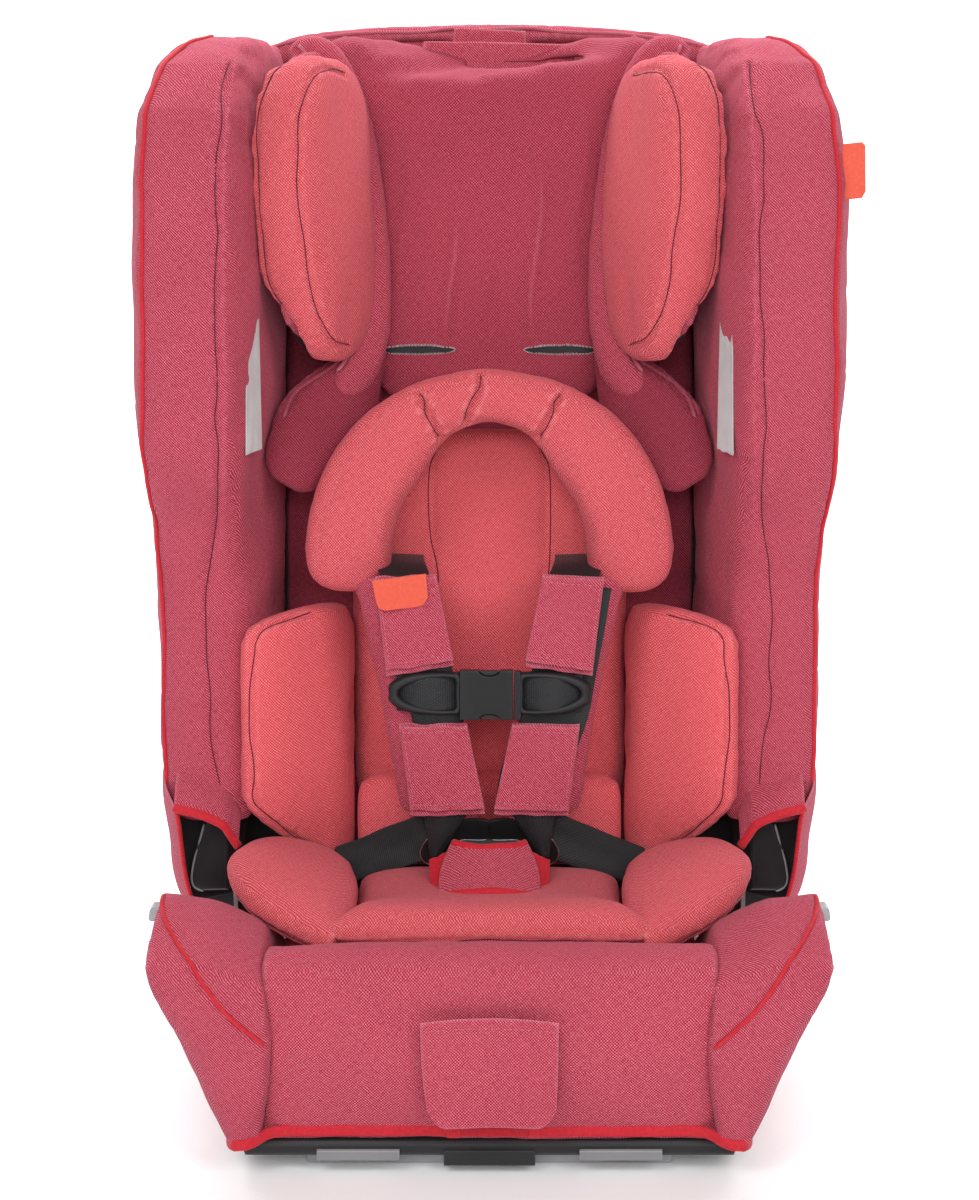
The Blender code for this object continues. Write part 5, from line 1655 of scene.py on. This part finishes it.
def hinge_cover(side, sign):
    """Rounded plastic housing of the hinge with a paler edge painted on as a highlight (a grey cord), and the dark
    plate below it.
    """
    outline = [(0.1905, 0.1350), (0.2110, 0.1345), (0.2170, 0.1375), (0.2192, 0.1440), (0.2175, 0.1560),
               (0.2135, 0.1700), (0.2090, 0.1860), (0.2040, 0.1935), (0.1905, 0.1945)]
    outline = [(sign * x, z) for x, z in outline]
    piece = plate(f"hinge_housing_{side}", outline, -0.0070, 0.0600, 0.0045, BLACK, "base", BASE)
    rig.replaces(piece, f"hinge_cover_{side}")
    foot = oblong(sign * 0.1760, sign * 0.2200, 0.0960, 0.1380)
    plate(f"hinge_foot_{side}", foot, 0.0300, 0.0500, 0.0030, CHARCOAL, "base", BASE)
    # painted highlight: a grey cord along the housing's front rim stands in for the light on its rounded edge
    rim = [(x - sign * 0.0012, -0.0058, z) for x, z in outline[1:7]]
    tube(f"hinge_edge_{side}", curve_through(rim, 0.003), 0.0009, GREY, "base", 8)


def arm_clip(side, sign):
    """Small bent steel clip at the tip of the arm, for a cup holder."""
    outline = [(0.2215, 0.1650), (0.2310, 0.1630), (0.2328, 0.1650), (0.2318, 0.1710), (0.2295, 0.1735),
               (0.2215, 0.1730)]
    outline = [(sign * x, z) for x, z in outline]
    piece = plate(f"arm_clip_{side}", outline, -0.1460, -0.1330, 0.0014, STEEL, "base", BASE)
    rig.replaces(piece, f"cup_holder_bracket_{side}")


def tags():
    """Blank tags: two orange, and a white care label on each bolster's inner wall."""
    shape = [(-0.0835, 0.1710), (-0.0450, 0.1760), (-0.0435, 0.1590), (-0.0470, 0.1535), (-0.0530, 0.1520),
             (-0.0740, 0.1495), (-0.0785, 0.1510), (-0.0805, 0.1560)]
    squash_harness(plate("orange_tag_harness", shape, -0.0805, -0.0780, 0.0005, ORANGE, "back"))
    shape = [(0.2440, 0.4755), (0.2575, 0.4770), (0.2600, 0.4745), (0.2605, 0.4430), (0.2580, 0.4385),
             (0.2440, 0.4370)]
    plate("orange_tag_bolster", shape, -0.1020, -0.1005, 0.0005, ORANGE, "back")
    for side, sign in SIDES:
        corners = [(0.1625, -0.0740, 0.3560), (0.1700, -0.0920, 0.3540), (0.1610, -0.0740, 0.2640),
                   (0.1710, -0.0920, 0.2600)]
        surface = patch(mirrored(corners, sign), 0.0, 0.0015, seed=sign)
        slab(f"care_label_{side}", surface, 0.0008, LABEL, "back")


def head_slots(tree):
    """Frayed harness slots in the head panel; a charcoal sheet in each mouth is painted shade for the dark inside."""
    for side, sign in SIDES:
        def mouth(u, v):
            x = 0.0265 + 0.0505 * u
            tall = 0.0030 * (1 - (2 * u - 1) ** 2) ** 0.5
            return BACK @ Vector((sign * x, SLOT_DEPTH, SLOT_HEIGHT + tall * (1 - 2 * v)))

        def set_in(u, v):
            point, normal, _, _ = tree.find_nearest(mouth(u, v))
            return point + normal * 0.0004

        # painted shade: a charcoal sheet over each slot's mouth stands in for the shadow of the opening
        slab(f"slot_dark_{side}", set_in, 0.0008, CHARCOAL, "headrest", (20, 6))
        builder = bmesh.new()
        for k in range(FRAY_COUNT):
            turn = 2 * pi * k / FRAY_COUNT
            jitter = noise.noise(Vector((k * 1.7, sign, 0)))
            rim = Vector((sign * (0.0518 + 0.0262 * cos(turn)), SLOT_DEPTH, SLOT_HEIGHT + 0.0034 * sin(turn)))
            point, normal, _, _ = tree.find_nearest(BACK @ rim)
            inward = BACK_UP * -sin(turn) + Vector((-sign * cos(turn) * 0.3 + jitter * 0.5, 0, 0))
            length = 0.0016 + 0.0014 * abs(jitter)
            start = point - inward * length * 0.5 + normal * 0.0003
            add_thread(builder, start, start + inward * length + normal * 0.0008, normal, 0.00024)
        add_piece(f"slot_fray_{side}", builder, FRAY, "headrest")


def rim_details():
    """Lining behind the top rim, and the cloth folded over the head support's release."""
    for side, sign in SIDES:
        corners = [(sign * 0.0150, 0.0640, 0.5655), (sign * 0.1000, 0.0640, 0.5630),
                   (sign * 0.0150, 0.0640, 0.5400), (sign * 0.1000, 0.0640, 0.5400)]
        slab(f"rim_cloth_{side}", patch(corners), 0.0040, CRIMSON, "back")
    # middle, width, depth, top
    folds = ((0.000, 0.052, 0.0330, 0.5700), (0.006, 0.108, 0.0215, 0.5590))
    for number, (x, wide, y, top) in enumerate(folds):
        corners = [(x - wide / 2, y, top), (x + wide / 2, y, top - 0.002), (x - wide / 2 - 0.003, y, 0.535),
                   (x + wide / 2 + 0.004, y, 0.535)]
        slab(f"release_tab_{number}", patch(corners, 0.003, 0.003, seed=number), 0.0030, CRIMSON, "headrest")


def base_plates():
    """Metal and plastic plates under the front hem."""
    for side, sign in SIDES:
        outline = oblong(sign * 0.0610, sign * 0.1170, 0.0105, 0.0175)
        plate(f"hem_plate_{side}", outline, -0.1965, -0.1880, 0.0008, GREY, "base", BASE)
    tray = [(-0.166, 0.0120), (0.166, 0.0120), (0.170, 0.0230), (-0.170, 0.0230)]
    plate("hem_tray", tray, -0.1930, 0.0300, 0.0040, CHARCOAL, "base", BASE)
    plate("hem_plate_centre", oblong(-0.031, 0.031, 0.0060, 0.0170), -0.1950, -0.1860, 0.0010, CHARCOAL,
          "base", BASE)


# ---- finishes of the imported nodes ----
def paint_nodes():
    slots = {part["node"]: part["material_slot"] for part in frame["record"]["subparts"]}
    for name, item in frame["nodes"].items():
        item.data.materials.clear()
        item.data.materials.append(NODE_LOOKS[slots[name]])


# ---- stage, light and camera ----
def plain_stage():
    """A pale floor that sweeps up into a backdrop, and an even white world."""
    builder = bmesh.new()
    profile = [(-6.0, 0.0), (1.6, 0.0)]
    profile += [(1.6 + 1.5 * sin(k * pi / 24), 1.5 - 1.5 * cos(k * pi / 24)) for k in range(1, 13)]
    profile.append((3.1, 6.0))
    rows = [[builder.verts.new((x, y, z - 0.0005)) for x in (-6, 6)] for y, z in profile]
    for first, second in zip(rows, rows[1:]):
        builder.faces.new((first[0], first[1], second[1], second[0]))
    mesh = bpy.data.meshes.new("floor")
    builder.to_mesh(mesh)
    builder.free()
    mesh.shade_smooth()
    floor = bpy.data.objects.new("floor", mesh)
    collection.objects.link(floor)
    graph = Graph("pale_floor")
    mottle = graph.noise(graph.place, 3, 2)
    graph.finish(graph.mix(mottle, (0.90, 0.90, 0.91), (0.93, 0.93, 0.93)), 0.6,
                 Emission_Color=(1, 1, 1, 1), Emission_Strength=0.06)
    mesh.materials.append(graph.material)
    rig.stage(floor)
    world = bpy.data.worlds.new("studio")
    world.use_nodes = True
    background = world.node_tree.nodes.get("Background")
    background.inputs["Color"].default_value = (1.0, 1.0, 1.0, 1)
    background.inputs["Strength"].default_value = 0.22
    bpy.context.scene.world = world


def soft_light(name, place, aim, size, power, colour=(1, 1, 1)):
    data = bpy.data.lights.new(name, "AREA")
    data.shape = "RECTANGLE"
    data.size, data.size_y = size
    data.energy = power
    data.color = colour
    lamp = bpy.data.objects.new(name, data)
    lamp.location = place
    lamp.rotation_euler = (Vector(aim) - Vector(place)).to_track_quat("-Z", "Y").to_euler()
    collection.objects.link(lamp)


def studio():
    plain_stage()
    soft_light("key_left", (-1.3, -2.0, 2.3), (0, 0, 0.35), (1.2, 1.2), 33)
    soft_light("fill_right", (1.4, -2.0, 2.0), (0, 0, 0.35), (1.2, 1.2), 27)
    soft_light("front", (0.0, -3.0, 1.5), (0, 0, 0.25), (1.4, 1.0), 36)
    soft_light("top", (0, 0.9, 2.3), (0, 0, 0.2), (1.4, 0.9), 34, (0.95, 0.95, 1.0))
    for side, sign in SIDES:
        soft_light(f"backdrop_{side}", (sign * 1.5, 1.1, 2.2), (sign * 0.5, 3.0, 0.8), (1.5, 1.0), 72)
    lens = bpy.data.cameras.new("camera")
    lens.lens = 83.8
    lens.sensor_width = 36
    camera = bpy.data.objects.new("camera", lens)
    camera.location = (0, -1.9406, 0.8368)
    camera.rotation_euler = (Vector((0, 0, 0.353)) - camera.location).to_track_quat("-Z", "Y").to_euler()
    collection.objects.link(camera)
    bpy.context.scene.camera = camera
    bpy.context.scene.view_settings.view_transform = "Standard"


studio()
paint_nodes()
pieces = padded_pieces()
harness()
adjuster_flap()
hem(joined_surface([pieces["seat_panel"], pieces["arm_cover_left"], pieces["arm_cover_right"]]))
for side, sign in SIDES:
    hinge_skirt(side, sign)
    hinge_cover(side, sign)
    arm_clip(side, sign)
tags()
head_slots(surface_of(pieces["head_panel"]))
rim_details()
base_plates()

with open("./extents.json", "w") as report:
    json.dump({"cad": [list(corner) for corner in CAD_BOX],
               "visual": [list(corner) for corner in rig.bounds()]}, report)
